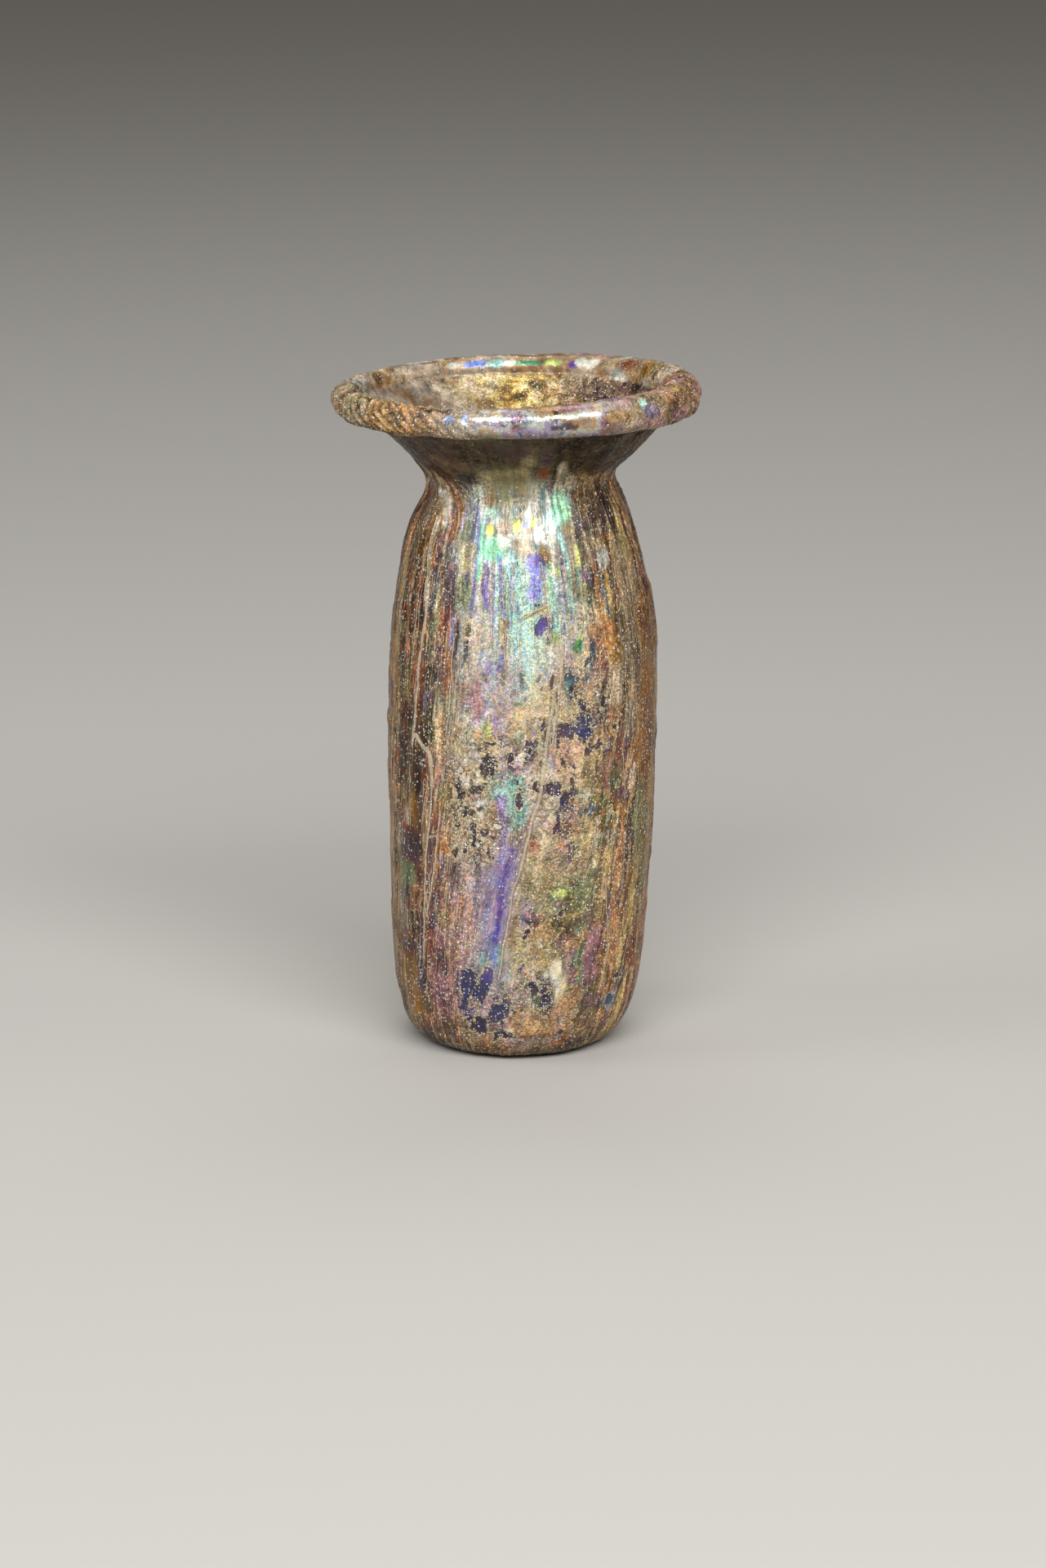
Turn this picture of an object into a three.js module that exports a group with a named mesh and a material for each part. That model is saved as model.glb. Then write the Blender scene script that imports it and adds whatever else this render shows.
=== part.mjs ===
// Roman glass unguentarium: a small free-blown glass flask, open at the top, with a rolled rim.
// Millimetres, +Z up. The origin is at the centre of the underside, and +X is the side of the thick rim.
import * as THREE from "three";

// ---- driving sizes ----------------------------------------------------------------------------
const HEIGHT = 95; // underside to the top of the roll, before the rim's tilt
const SEGMENTS = 60; // round the vessel

// The roll: the rim's round tube, and how much of its thickness it gains at +X and loses at -X.
const ROLL_RADIUS = 2.1;
const ROLL_CENTRE_RADIUS = 23.4;
const ROLL_SWELL = 0.2;
const ROLL_HEIGHT = HEIGHT - ROLL_RADIUS;

// The outside of the wall, as stations of height, radius and slope (radius gained per mm of height).
const WALL = [
  { z: 15.4, value: 17.9, slope: 0.067 }, // top of the heel
  { z: 51.2, value: 18.9, slope: 0 }, // widest part of the body
  { z: 72.3, value: 16.35, slope: -0.24 }, // shoulder
  { z: 78.2, value: 14.3, slope: -0.51 }, // where the shoulder turns in under the neck
  { z: 81.2, value: 13.1, slope: 0 }, // narrowest part of the neck
  { z: 84.2, value: 14.8, slope: 1 }, // foot of the straight flare
];
const STEPS_IN_SPANS = [5, 4, 2, 3, 3]; // rows of faces between neighbouring stations

// Thickness of the wall, measured level, at heights of its own.
const THICKNESS = [
  { z: 15.4, value: 2.1, slope: 0 },
  { z: 51.2, value: 1.8, slope: 0 },
  { z: 72.3, value: 2.1, slope: 0 },
  { z: 81.2, value: 2.2, slope: 0 },
  { z: 84.2, value: 1.84, slope: 0 },
];

// The base: a flat ring to stand on, a shallow hollow inside it, and a round heel.
const FOOT_RADIUS = 10.9;
const HOLLOW_RADIUS = 6.5;
const HOLLOW_DEPTH = 0.6;
const HEEL_PULL = { foot: 5.4, wall: 9.2 }; // how far the heel's curve runs on from each of its ends
const FLOOR = 3.2; // height of the glass floor inside
const FLOOR_RADIUS = 7.5;
const INNER_HEEL_PULL = { foot: 5.6, wall: 8 };

// What the blower's hand left: the axis wanders sideways, and the neck and rim are out of level.
const LEAN = [ // sideways shift along +X, in mm
  { z: 0, value: -0.42, slope: 0.06 },
  { z: 24, value: 0.38, slope: 0.014 },
  { z: 57, value: 0.92, slope: 0 },
  { z: 80, value: 0.66, slope: 0 },
  { z: 88.5, value: 0.66, slope: 0 },
  { z: 92.4, value: -0.42, slope: 0 },
];
const TILT = [ // rise towards +X, in degrees
  { z: 72, value: 0, slope: 0 },
  { z: 80, value: 3.2, slope: 0 },
  { z: 85.5, value: 0.6, slope: 0 },
  { z: 90, value: 1.06, slope: 0 },
];

const GLASS = { color: 0x8f7460, roughness: 0.38, metalness: 0.35 };

// ---- curves -----------------------------------------------------------------------------------
/** Value at height z of a smooth curve through the stations, level with its end values beyond them. */
function along(stations, z) {
  const first = stations[0];
  const last = stations[stations.length - 1];
  if (z <= first.z) return first.value;
  if (z >= last.z) return last.value;
  const upper = stations.findIndex((station) => station.z >= z);
  const [a, b] = [stations[upper - 1], stations[upper]];
  const span = b.z - a.z;
  const t = (z - a.z) / span;
  return (2 * t ** 3 - 3 * t ** 2 + 1) * a.value + (t ** 3 - 2 * t ** 2 + t) * span * a.slope
    + (-2 * t ** 3 + 3 * t ** 2) * b.value + (t ** 3 - t ** 2) * span * b.slope;
}

const outerRadius = (z) => along(WALL, z);
const innerRadius = (z) => along(WALL, z) - along(THICKNESS, z);

/** A heel from the level floor at (footRadius, floor) up to the wall, as a cubic curve. */
function heel(footRadius, floor, radius, slope, z, pull, steps) {
  const curve = new THREE.CubicBezierCurve(
    new THREE.Vector2(footRadius, floor),
    new THREE.Vector2(footRadius + pull.foot, floor),
    new THREE.Vector2(radius - slope * pull.wall, z - pull.wall),
    new THREE.Vector2(radius, z),
  );
  return curve.getPoints(steps);
}

/** Points of a wall surface upwards, with the given number of steps in each span of stations. */
function wall(radiusAt, stepsInSpans) {
  const points = [];
  stepsInSpans.forEach((steps, span) => {
    for (let step = 1; step <= steps; step++) {
      const z = THREE.MathUtils.lerp(WALL[span].z, WALL[span + 1].z, step / steps);
      points.push(new THREE.Vector2(radiusAt(z), z));
    }
  });
  return points;
}

/** Where a straight flare that leaves (radius, z) at 45 degrees meets the roll, as an angle on the roll. */
function angleOnRoll(radius, z) {
  const offLine = ((radius - ROLL_CENTRE_RADIUS) - (z - ROLL_HEIGHT)) / Math.SQRT2;
  return 1.25 * Math.PI + Math.asin(offLine / ROLL_RADIUS);
}

// ---- the profile, from the axis under the base round to the axis inside ----------------------
function underside() {
  const points = [];
  const steps = 4;
  for (let step = 0; step <= steps; step++) {
    const t = step / steps;
    points.push(new THREE.Vector2(t * HOLLOW_RADIUS, HOLLOW_DEPTH * 0.5 * (1 + Math.cos(Math.PI * t))));
  }
  points[steps].y = 0;
  return points;
}

function roll() {
  const top = WALL[WALL.length - 1];
  const start = angleOnRoll(outerRadius(top.z), top.z);
  const end = angleOnRoll(innerRadius(top.z), top.z) + 2 * Math.PI;
  const steps = 15;
  const points = [];
  for (let step = 0; step <= steps; step++) {
    const angle = THREE.MathUtils.lerp(start, end, step / steps);
    points.push(new THREE.Vector2(
      ROLL_CENTRE_RADIUS + ROLL_RADIUS * Math.cos(angle),
      ROLL_HEIGHT + ROLL_RADIUS * Math.sin(angle),
    ));
  }
  return points;
}

/** Points strictly between two ends of a straight flare. */
function between(from, to, steps) {
  return Array.from({ length: steps - 1 }, (_, k) => from.clone().lerp(to, (k + 1) / steps));
}

function profile() {
  const base = WALL[0];
  const outerWall = wall(outerRadius, STEPS_IN_SPANS);
  const innerWall = wall(innerRadius, STEPS_IN_SPANS);
  const rim = roll();
  const innerHeel = heel(FLOOR_RADIUS, FLOOR, innerRadius(base.z), base.slope, base.z, INNER_HEEL_PULL, 5);
  return [
    ...underside(),
    ...heel(FOOT_RADIUS, 0, base.value, base.slope, base.z, HEEL_PULL, 9),
    ...outerWall,
    ...between(outerWall[outerWall.length - 1], rim[0], 4),
    ...rim,
    ...between(rim[rim.length - 1], innerWall[innerWall.length - 1], 3),
    ...innerWall.reverse(),
    ...innerHeel.reverse(),
    new THREE.Vector2(FLOOR_RADIUS / 2, FLOOR + HOLLOW_DEPTH / 3),
    new THREE.Vector2(0, FLOOR + HOLLOW_DEPTH / 2),
  ];
}

// ---- the hand-made unevenness -----------------------------------------------------------------
/** Moves one point of the true round vessel to its place on the uneven one. */
function blow(point) {
  const radius = Math.hypot(point.x, point.y);
  if (radius > 0) {
    const fromRoll = Math.hypot(radius - ROLL_CENTRE_RADIUS, point.z - ROLL_HEIGHT);
    const share = 1 - THREE.MathUtils.smoothstep(fromRoll, ROLL_RADIUS, 2.5 * ROLL_RADIUS);
    const swell = share * ROLL_SWELL * point.x / radius;
    const newRadius = radius + (radius - ROLL_CENTRE_RADIUS) * swell;
    point.z += (point.z - ROLL_HEIGHT) * swell;
    point.x *= newRadius / radius;
    point.y *= newRadius / radius;
  }
  point.x += along(LEAN, point.z);
  point.z += point.x * Math.tan(THREE.MathUtils.degToRad(along(TILT, point.z)));
  return point;
}

function flask() {
  const geometry = new THREE.LatheGeometry(profile(), SEGMENTS);
  geometry.rotateX(Math.PI / 2); // the lathe's own axis is Y
  const position = geometry.attributes.position;
  const point = new THREE.Vector3();
  for (let i = 0; i < position.count; i++) {
    blow(point.fromBufferAttribute(position, i));
    position.setXYZ(i, point.x, point.y, point.z);
  }
  geometry.computeVertexNormals();
  const mesh = new THREE.Mesh(geometry, new THREE.MeshStandardMaterial(GLASS));
  mesh.name = "flask";
  return mesh;
}

const unguentarium = new THREE.Group();
unguentarium.name = "unguentarium";
unguentarium.add(flask());

export default unguentarium;
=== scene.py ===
"""Looks of a Roman glass unguentarium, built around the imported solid. Blender 4.5.

The flask is one closed mesh on the solid's own form, with the relief of its weathering on it. Each streak,
flake and pit has its place on the unrolled wall, in degrees round from the front (-Y, positive towards +X)
and in millimetres of height. The mesh carries those fields, and the material adds the finest grain itself.
"""
import math

import bpy
import numpy as np
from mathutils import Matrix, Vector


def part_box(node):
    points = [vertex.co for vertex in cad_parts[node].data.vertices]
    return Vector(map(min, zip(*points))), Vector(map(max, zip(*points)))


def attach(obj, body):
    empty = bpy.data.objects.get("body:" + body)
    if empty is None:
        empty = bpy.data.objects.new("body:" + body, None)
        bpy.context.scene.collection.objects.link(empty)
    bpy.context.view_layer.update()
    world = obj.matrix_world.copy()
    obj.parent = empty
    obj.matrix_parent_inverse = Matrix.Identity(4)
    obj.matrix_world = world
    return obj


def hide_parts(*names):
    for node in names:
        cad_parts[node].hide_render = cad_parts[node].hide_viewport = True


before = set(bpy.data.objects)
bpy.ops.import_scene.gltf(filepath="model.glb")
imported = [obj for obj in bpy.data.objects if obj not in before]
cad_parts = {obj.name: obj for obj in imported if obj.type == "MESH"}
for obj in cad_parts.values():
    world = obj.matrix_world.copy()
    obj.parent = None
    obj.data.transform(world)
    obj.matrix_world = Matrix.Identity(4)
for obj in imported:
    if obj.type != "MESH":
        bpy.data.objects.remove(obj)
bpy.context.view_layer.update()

# ---- the camera, at the photograph's viewing angle ---------------------------------------------
CAMERA_PLACE = (0.00087, -0.6016, 0.1932)
CAMERA_PITCH = 14.57  # degrees down from level
LENS, SENSOR = 100.0, 36.0
NEAREST = 0.01  # metres from the camera at which things start to show


def make_camera():
    data = bpy.data.cameras.new("camera")
    data.lens = LENS
    data.sensor_fit = "VERTICAL"
    data.sensor_width = data.sensor_height = SENSOR
    data.clip_start = NEAREST
    camera = bpy.data.objects.new("camera", data)
    camera.location = CAMERA_PLACE
    camera.rotation_euler = (math.radians(90 - CAMERA_PITCH), 0, 0)
    bpy.context.scene.collection.objects.link(camera)
    bpy.context.scene.camera = camera


make_camera()

# ---- the flask's form: the solid's own sizes, in mm ---------------------------------------------
HEIGHT = 95.0
ROLL_RADIUS = 2.1
ROLL_CENTRE_RADIUS = 23.4
ROLL_SWELL = 0.2
ROLL_HEIGHT = HEIGHT - ROLL_RADIUS
# Stations of height, value and slope.
WALL = ((15.4, 17.9, 0.067), (51.2, 18.9, 0), (72.3, 16.35, -0.24), (78.2, 14.3, -0.51), (81.2, 13.1, 0),
        (84.2, 14.8, 1))
THICKNESS = ((15.4, 2.1, 0), (51.2, 1.8, 0), (72.3, 2.1, 0), (81.2, 2.2, 0), (84.2, 1.84, 0))
LEAN = ((0, -0.42, 0.06), (24, 0.38, 0.014), (57, 0.92, 0), (80, 0.66, 0), (88.5, 0.66, 0), (92.4, -0.42, 0))
TILT = ((72, 0, 0), (80, 3.2, 0), (85.5, 0.6, 0), (90, 1.06, 0))
FOOT_RADIUS, HOLLOW_RADIUS, HOLLOW_DEPTH = 10.9, 6.5, 0.6
HEEL_PULL = (5.4, 9.2)
FLOOR, FLOOR_RADIUS, INNER_HEEL_PULL = 3.2, 7.5, (5.6, 8.0)
BODY_RADIUS = 18.4  # for turning degrees into mm on the body
NECK_HEIGHT = 80

# ---- how finely the mesh is cut -----------------------------------------------------------------
COLUMNS = 280  # on the outside; the roll has twice as many, the inside of the body half
FRONT_SHARE = 0.22  # how much closer the columns stand at the front
# Rows of points on each part of the profile.
HOLLOW_ROWS, RING_ROWS, HEEL_ROWS, WALL_ROWS, FLARE_ROWS, ROLL_ROWS = 9, 6, 34, 158, 23, 37
INNER_FLARE_ROWS, INNER_WALL_ROWS, INNER_HEEL_ROWS = 24, 34, 8
UNDERSIDE, ROLL, INSIDE, OUTSIDE = range(4)
ROLL_SEAM = 130  # degrees below level at which the angle round the roll starts anew, inside the glass


def along(stations, z):
    """A smooth curve through the stations, level beyond its ends."""
    z = np.asarray(z, float)
    out = np.where(z <= stations[0][0], stations[0][1], stations[-1][1]).astype(float)
    for (z0, v0, s0), (z1, v1, s1) in zip(stations[:-1], stations[1:]):
        inside = (z >= z0) & (z <= z1)
        t, span = (z[inside] - z0) / (z1 - z0), z1 - z0
        out[inside] = ((2 * t**3 - 3 * t**2 + 1) * v0 + (t**3 - 2 * t**2 + t) * span * s0
                       + (-2 * t**3 + 3 * t**2) * v1 + (t**3 - t**2) * span * s1)
    return out


def smooth(low, high, x):
    """0 at low, 1 at high, smooth between and level beyond."""
    t = np.clip((np.asarray(x, float) - low) / (high - low), 0, 1)
    return t * t * (3 - 2 * t)


def heel(foot, floor, radius, slope, z, pull, steps):
    """The curve from a level floor up to the wall."""
    before_wall = (radius - slope * pull[1], z - pull[1])
    p = np.array([(foot, floor), (foot + pull[0], floor), before_wall, (radius, z)])
    t = np.linspace(0, 1, steps + 1)[:, None]
    return (1 - t)**3 * p[0] + 3 * t * (1 - t)**2 * p[1] + 3 * t**2 * (1 - t) * p[2] + t**3 * p[3]


def angle_on_roll(radius, z):
    """Where a flare that leaves (radius, z) at 45 degrees meets the roll."""
    off_line = ((radius - ROLL_CENTRE_RADIUS) - (z - ROLL_HEIGHT)) / math.sqrt(2)
    return 1.25 * math.pi + math.asin(off_line / ROLL_RADIUS)


def profile_rows():
    """Rows of (radius, z, part, columns) from the axis below to the axis inside."""
    rows = []

    def add(points, part, columns):
        rows.extend((float(r), float(z), part, columns) for r, z in points)

    top, base = WALL[-1], WALL[0]
    inner_top = top[1] - THICKNESS[-1][1]
    start, end = angle_on_roll(top[1], top[0]), angle_on_roll(inner_top, top[0]) + 2 * math.pi
    t = np.linspace(0, 1, HOLLOW_ROWS)
    add(np.c_[t * HOLLOW_RADIUS, HOLLOW_DEPTH * 0.5 * (1 + np.cos(np.pi * t))], UNDERSIDE, COLUMNS // 2)
    ring_radii = np.linspace(HOLLOW_RADIUS, FOOT_RADIUS, RING_ROWS)[1:-1]
    add(np.c_[ring_radii, 0 * ring_radii], UNDERSIDE, COLUMNS)
    add(heel(FOOT_RADIUS, 0, base[1], base[2], base[0], HEEL_PULL, HEEL_ROWS), OUTSIDE, COLUMNS)
    z = np.linspace(base[0], top[0], WALL_ROWS)[1:]
    add(np.c_[along(WALL, z), z], OUTSIDE, COLUMNS)
    angle = np.linspace(start, end, ROLL_ROWS)
    ring = np.c_[ROLL_CENTRE_RADIUS + ROLL_RADIUS * np.cos(angle), ROLL_HEIGHT + ROLL_RADIUS * np.sin(angle)]
    t = np.linspace(0, 1, FLARE_ROWS)[1:-1, None]
    add((1 - t) * np.array([top[1], top[0]]) + t * ring[0], OUTSIDE, COLUMNS)
    add(ring, ROLL, 2 * COLUMNS)
    t = np.linspace(0, 1, INNER_FLARE_ROWS)[1:, None]
    add((1 - t) * ring[-1] + t * np.array([inner_top, top[0]]), INSIDE, COLUMNS)
    z = np.linspace(top[0], base[0], INNER_WALL_ROWS)[1:]
    add(np.c_[along(WALL, z) - along(THICKNESS, z), z], INSIDE, COLUMNS // 2)
    inner_radius = base[1] - THICKNESS[0][1]
    inner = heel(FLOOR_RADIUS, FLOOR, inner_radius, base[2], base[0], INNER_HEEL_PULL, INNER_HEEL_ROWS)
    add(inner[::-1][1:], INSIDE, COLUMNS // 2)
    add([(FLOOR_RADIUS / 2, FLOOR + HOLLOW_DEPTH / 3), (0, FLOOR + HOLLOW_DEPTH / 2)], INSIDE, COLUMNS // 2)
    return rows


def blow(radius, z, theta):
    """The hand-made unevenness: a thicker roll at the right, a wandering axis, neck and rim out of level."""
    from_roll = np.hypot(radius - ROLL_CENTRE_RADIUS, z - ROLL_HEIGHT)
    share = 1 - smooth(ROLL_RADIUS, 2.5 * ROLL_RADIUS, from_roll)
    swell = share * ROLL_SWELL * np.sin(theta)
    z = z + (z - ROLL_HEIGHT) * swell
    radius = radius + (radius - ROLL_CENTRE_RADIUS) * swell * (radius > 0)
    x = radius * np.sin(theta) + along(LEAN, z)
    y = -radius * np.cos(theta)
    return np.c_[x, y, z + x * np.tan(np.radians(along(TILT, z)))]


def stitch(a, b):
    """Faces between rows of vertex numbers: equal rows, a row and its double, or a point and a row."""
    if len(a) > len(b):
        return [face[::-1] for face in stitch(b, a)]
    faces = []
    for i in range(len(b) if len(a) == 1 else len(a)):
        j, next_b = (i + 1) % len(a), b[(i + 1) % len(b)]
        if len(a) == 1:
            faces.append((a[0], next_b, b[i]))
        elif len(a) == len(b):
            faces.append((a[i], a[j], next_b, b[i]))
        else:
            right, far = b[2 * i + 1], b[(2 * i + 2) % len(b)]
            faces += [(a[i], right, b[2 * i]), (a[i], a[j], right), (a[j], far, right)]
    return faces


class Skin:
    """The mesh as arrays: each vertex's profile radius and height, its angle round, part and arc length."""

    def __init__(self):
        radii, heights, parts, columns = (np.array(column) for column in zip(*profile_rows()))
        counts = np.where(radii == 0, 1, columns)
        steps = np.hypot(np.diff(radii, prepend=radii[0]), np.diff(heights, prepend=heights[0]))
        self.radius, self.z, self.part, self.run = (
            np.repeat(values, counts) for values in (radii, heights, parts, np.cumsum(steps)))
        phi = np.concatenate([2 * np.pi * (np.arange(count) / count) - np.pi for count in counts])
        self.theta = phi - FRONT_SHARE * np.sin(phi)
        self.turn = phi / (2 * np.pi) + 0.5
        rows = [list(range(end - count, end)) for count, end in zip(counts, np.cumsum(counts))]
        self.faces = [face for a, b in zip(rows[:-1], rows[1:]) for face in stitch(a, b)]
        self.points = blow(self.radius, self.z, self.theta)
        self.degrees = np.degrees(self.theta)
        # the angle round the roll's tube: 0 outwards, 90 on top, 180 inwards
        self.psi = np.degrees(np.arctan2(self.z - ROLL_HEIGHT, self.radius - ROLL_CENTRE_RADIUS))
        self.psi = (self.psi + ROLL_SEAM) % 360 - ROLL_SEAM


# ---- noise ---------------------------------------------------------------------------------------
HASH_X, HASH_Y, HASH_Z, HASH_SEED, HASH_MIX = 374761393, 668265263, 1442695041, 974634777, 1274126177
WORD, TOP_BITS = 0xFFFFFFFF, 0xFFFFFF
OCTAVES, OCTAVE_SHIFT, NOISE_GAIN = 2, 37.7, 1.5
JITTER = 0.45  # how far a grain's centre may lie from the middle of its cell, in cells


def lattice(cell, seed):
    """A repeatable random number from -1 to 1 for each whole-numbered cell."""
    h = cell[:, 0] * HASH_X + cell[:, 1] * HASH_Y + cell[:, 2] * HASH_Z + seed * HASH_SEED
    h = h.astype(np.int64) & WORD
    h = ((h ^ (h >> 13)) * HASH_MIX) & WORD
    return ((h ^ (h >> 16)) & TOP_BITS) / (TOP_BITS // 2) - 1


def noise(points, size, seed):
    """Smooth noise, about -1 to 1, whose largest blobs measure `size` in the points' unit."""
    total, weight, norm = 0.0, 1.0, 0.0
    for octave in range(OCTAVES):
        p = points / size * 2**octave + OCTAVE_SHIFT * octave
        cell = np.floor(p).astype(np.int64)
        t = p - cell
        t = t**3 * (t * (6 * t - 15) + 10)
        value = 0.0
        for corner in range(8):
            step = np.array([corner & 1, corner >> 1 & 1, corner >> 2 & 1])
            share = np.prod(np.where(step, t, 1 - t), axis=1)
            value = value + share * lattice(cell + step, seed + octave)
        total, norm, weight = total + weight * value, norm + weight, weight * 0.5
    return total / norm * NOISE_GAIN


def grains(points, size, seed):
    """Distance to the nearest of scattered grain centres, in grain sizes, and that grain's random number."""
    p = points / size
    cell = np.floor(p).astype(np.int64)
    best, chance = np.full(len(p), 9.0), np.zeros(len(p))
    for k in range(27):
        c = cell + np.array([k % 3 - 1, k // 3 % 3 - 1, k // 9 - 1])
        centre = c + 0.5 + JITTER * np.c_[lattice(c, seed), lattice(c, seed + 1), lattice(c, seed + 2)]
        d = np.linalg.norm(p - centre, axis=1)
        nearer = d < best
        best = np.where(nearer, d, best)
        chance = np.where(nearer, lattice(c, seed + 3), chance)
    return best, chance


# ---- tables --------------------------------------------------------------------------------------
def cell_value(word):
    """A name, a number, or a place on the wall, which is written degrees/height."""
    if word.isalpha():
        return word
    if "/" in word:
        return tuple(float(part) for part in word.split("/"))
    return float(word)


def table(text):
    """The rows of a table written as text. Semicolons and line ends close a row, and # starts a heading."""
    rows = [row.split() for line in text.splitlines() if not line.startswith("#") for row in line.split(";")]
    return [[cell_value(word) for word in row] for row in rows if row]


# Colours, as screen values of red, green and blue.
COLOURS = {name: colour for name, *colour in table("""
tan .64 .51 .36; rose .62 .47 .39; copper .62 .4 .24; gold .7 .57 .3; olive .47 .42 .26; umber .21 .15 .11
bark .37 .27 .17; beige .68 .61 .53; grey .5 .46 .41; silver .7 .72 .7; teal .42 .62 .58; ice .7 .9 .85
violet .52 .44 .7; blue .42 .48 .72; ink .15 .12 .23; green .12 .48 .32; white .93 .92 .86; amber .45 .27 .1
lilac .62 .56 .68; plum .28 .19 .25; lime .75 .85 .45; mauve .6 .42 .46; navy .16 .19 .36; moss .4 .45 .32
cream .86 .79 .62; rust .48 .24 .12; soot .13 .1 .08; cocoa .22 .14 .09; slate .25 .33 .4; sand .78 .68 .52
peach .82 .68 .54; mint .6 .9 .74; yellow .93 .92 .45; dusk .45 .41 .52; purple .36 .26 .6; honey .56 .39 .14
brown .46 .34 .25; stone .48 .42 .34; sky .66 .75 .93; iris .54 .52 .86; chalk .84 .78 .68; khaki .58 .52 .38
straw .86 .74 .4; pearl 1 .99 .95; orange .8 .5 .18; azure .46 .58 .92
""")}

# Blends of colours: a place on the scale, then the colour there.
RAMPS = {
    "side": "-0.9 bark -0.4 copper 0 bark 0.3 tan 0.5 gold 0.8 olive 1 beige",
    "side under": "-0.8 soot -0.3 plum 0 umber 0.4 rust 0.7 umber 1 olive",
    "low": "-0.8 copper -0.4 rose -0.1 khaki 0.3 beige 0.6 rose 0.8 khaki 1.1 silver",
    "low under": "-0.8 bark -0.3 mauve 0.1 grey 0.4 olive 0.8 moss",
    "mid": "-0.8 rose -0.3 lilac 0 silver 0.4 beige 0.8 tan",
    "mid under": "-0.8 mauve -0.3 tan 0 grey 0.4 moss 0.8 teal",
    "high": "-1 lilac -0.5 silver -0.15 white 0.15 silver 0.45 ice 0.8 silver 1.1 cream",
    "high under": "-1 plum -0.6 violet -0.3 lilac 0 teal 0.3 blue 0.6 lilac 1 tan",
    "funnel": "-0.8 soot -0.3 cocoa 0.2 umber 0.5 bark 0.7 cocoa 1.2 brown",
    "funnel under": "-0.6 soot 0.2 cocoa 0.8 soot",
    "heel": "-1 umber 0 bark 1 gold",
    "bare glass": "-1 umber -0.3 amber 0.2 honey 0.6 amber 1 olive",
    "rim left": "-0.7 soot -0.3 umber 0 rust 0.3 brown 0.6 tan 0.8 sand 1.1 cream",
    "rim orange": "-0.5 soot -0.1 rust 0.3 honey 0.7 orange 1.1 straw",
    "rim stone": "-0.4 soot 0.1 stone 0.8 beige",
    "rim front": "-1 mauve -0.4 lilac 0 silver 0.3 tan 0.6 rose 0.9 bark",
    "rim right": "-1 bark -0.3 mauve 0.1 tan 0.5 bark 0.9 gold",
    "rim far": "-1.2 brown -0.6 tan -0.1 beige 0.4 beige 0.7 silver 1 white",
    "crust": "-0.9 olive -0.4 honey -0.1 straw 0.4 cream 0.9 peach",
    "dull crust": "-0.9 bark 0 grey 0.6 beige",
    "dark crust": "-0.9 soot -0.3 plum 0.2 brown 0.6 stone 1 tan",
    "iridescence": "0.3 purple 0.4 azure 0.47 ice 0.53 cream 0.6 rose 0.7 lime",
    "bead": "0 brown 0.3 tan 0.5 lilac 0.65 cream 0.9 pearl",
    "hollow": "0.35 soot 0.45 ink 0.52 navy 0.6 slate",
    "painted glint": "0.1 straw 0.3 cream 0.5 pearl 0.9 pearl 1 ice",
}


def linear(colour):
    """A screen colour as the light values that the shader works in."""
    c = np.asarray(COLOURS[colour] if isinstance(colour, str) else colour, float)
    return np.where(c <= 0.04045, c / 12.92, ((c + 0.055) / 1.055)**2.4)


def stops(name):
    """The places of a ramp and its colours there, as light values."""
    words = RAMPS[name].split()
    return [float(place) for place in words[::2]], [linear(colour) for colour in words[1::2]]
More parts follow.
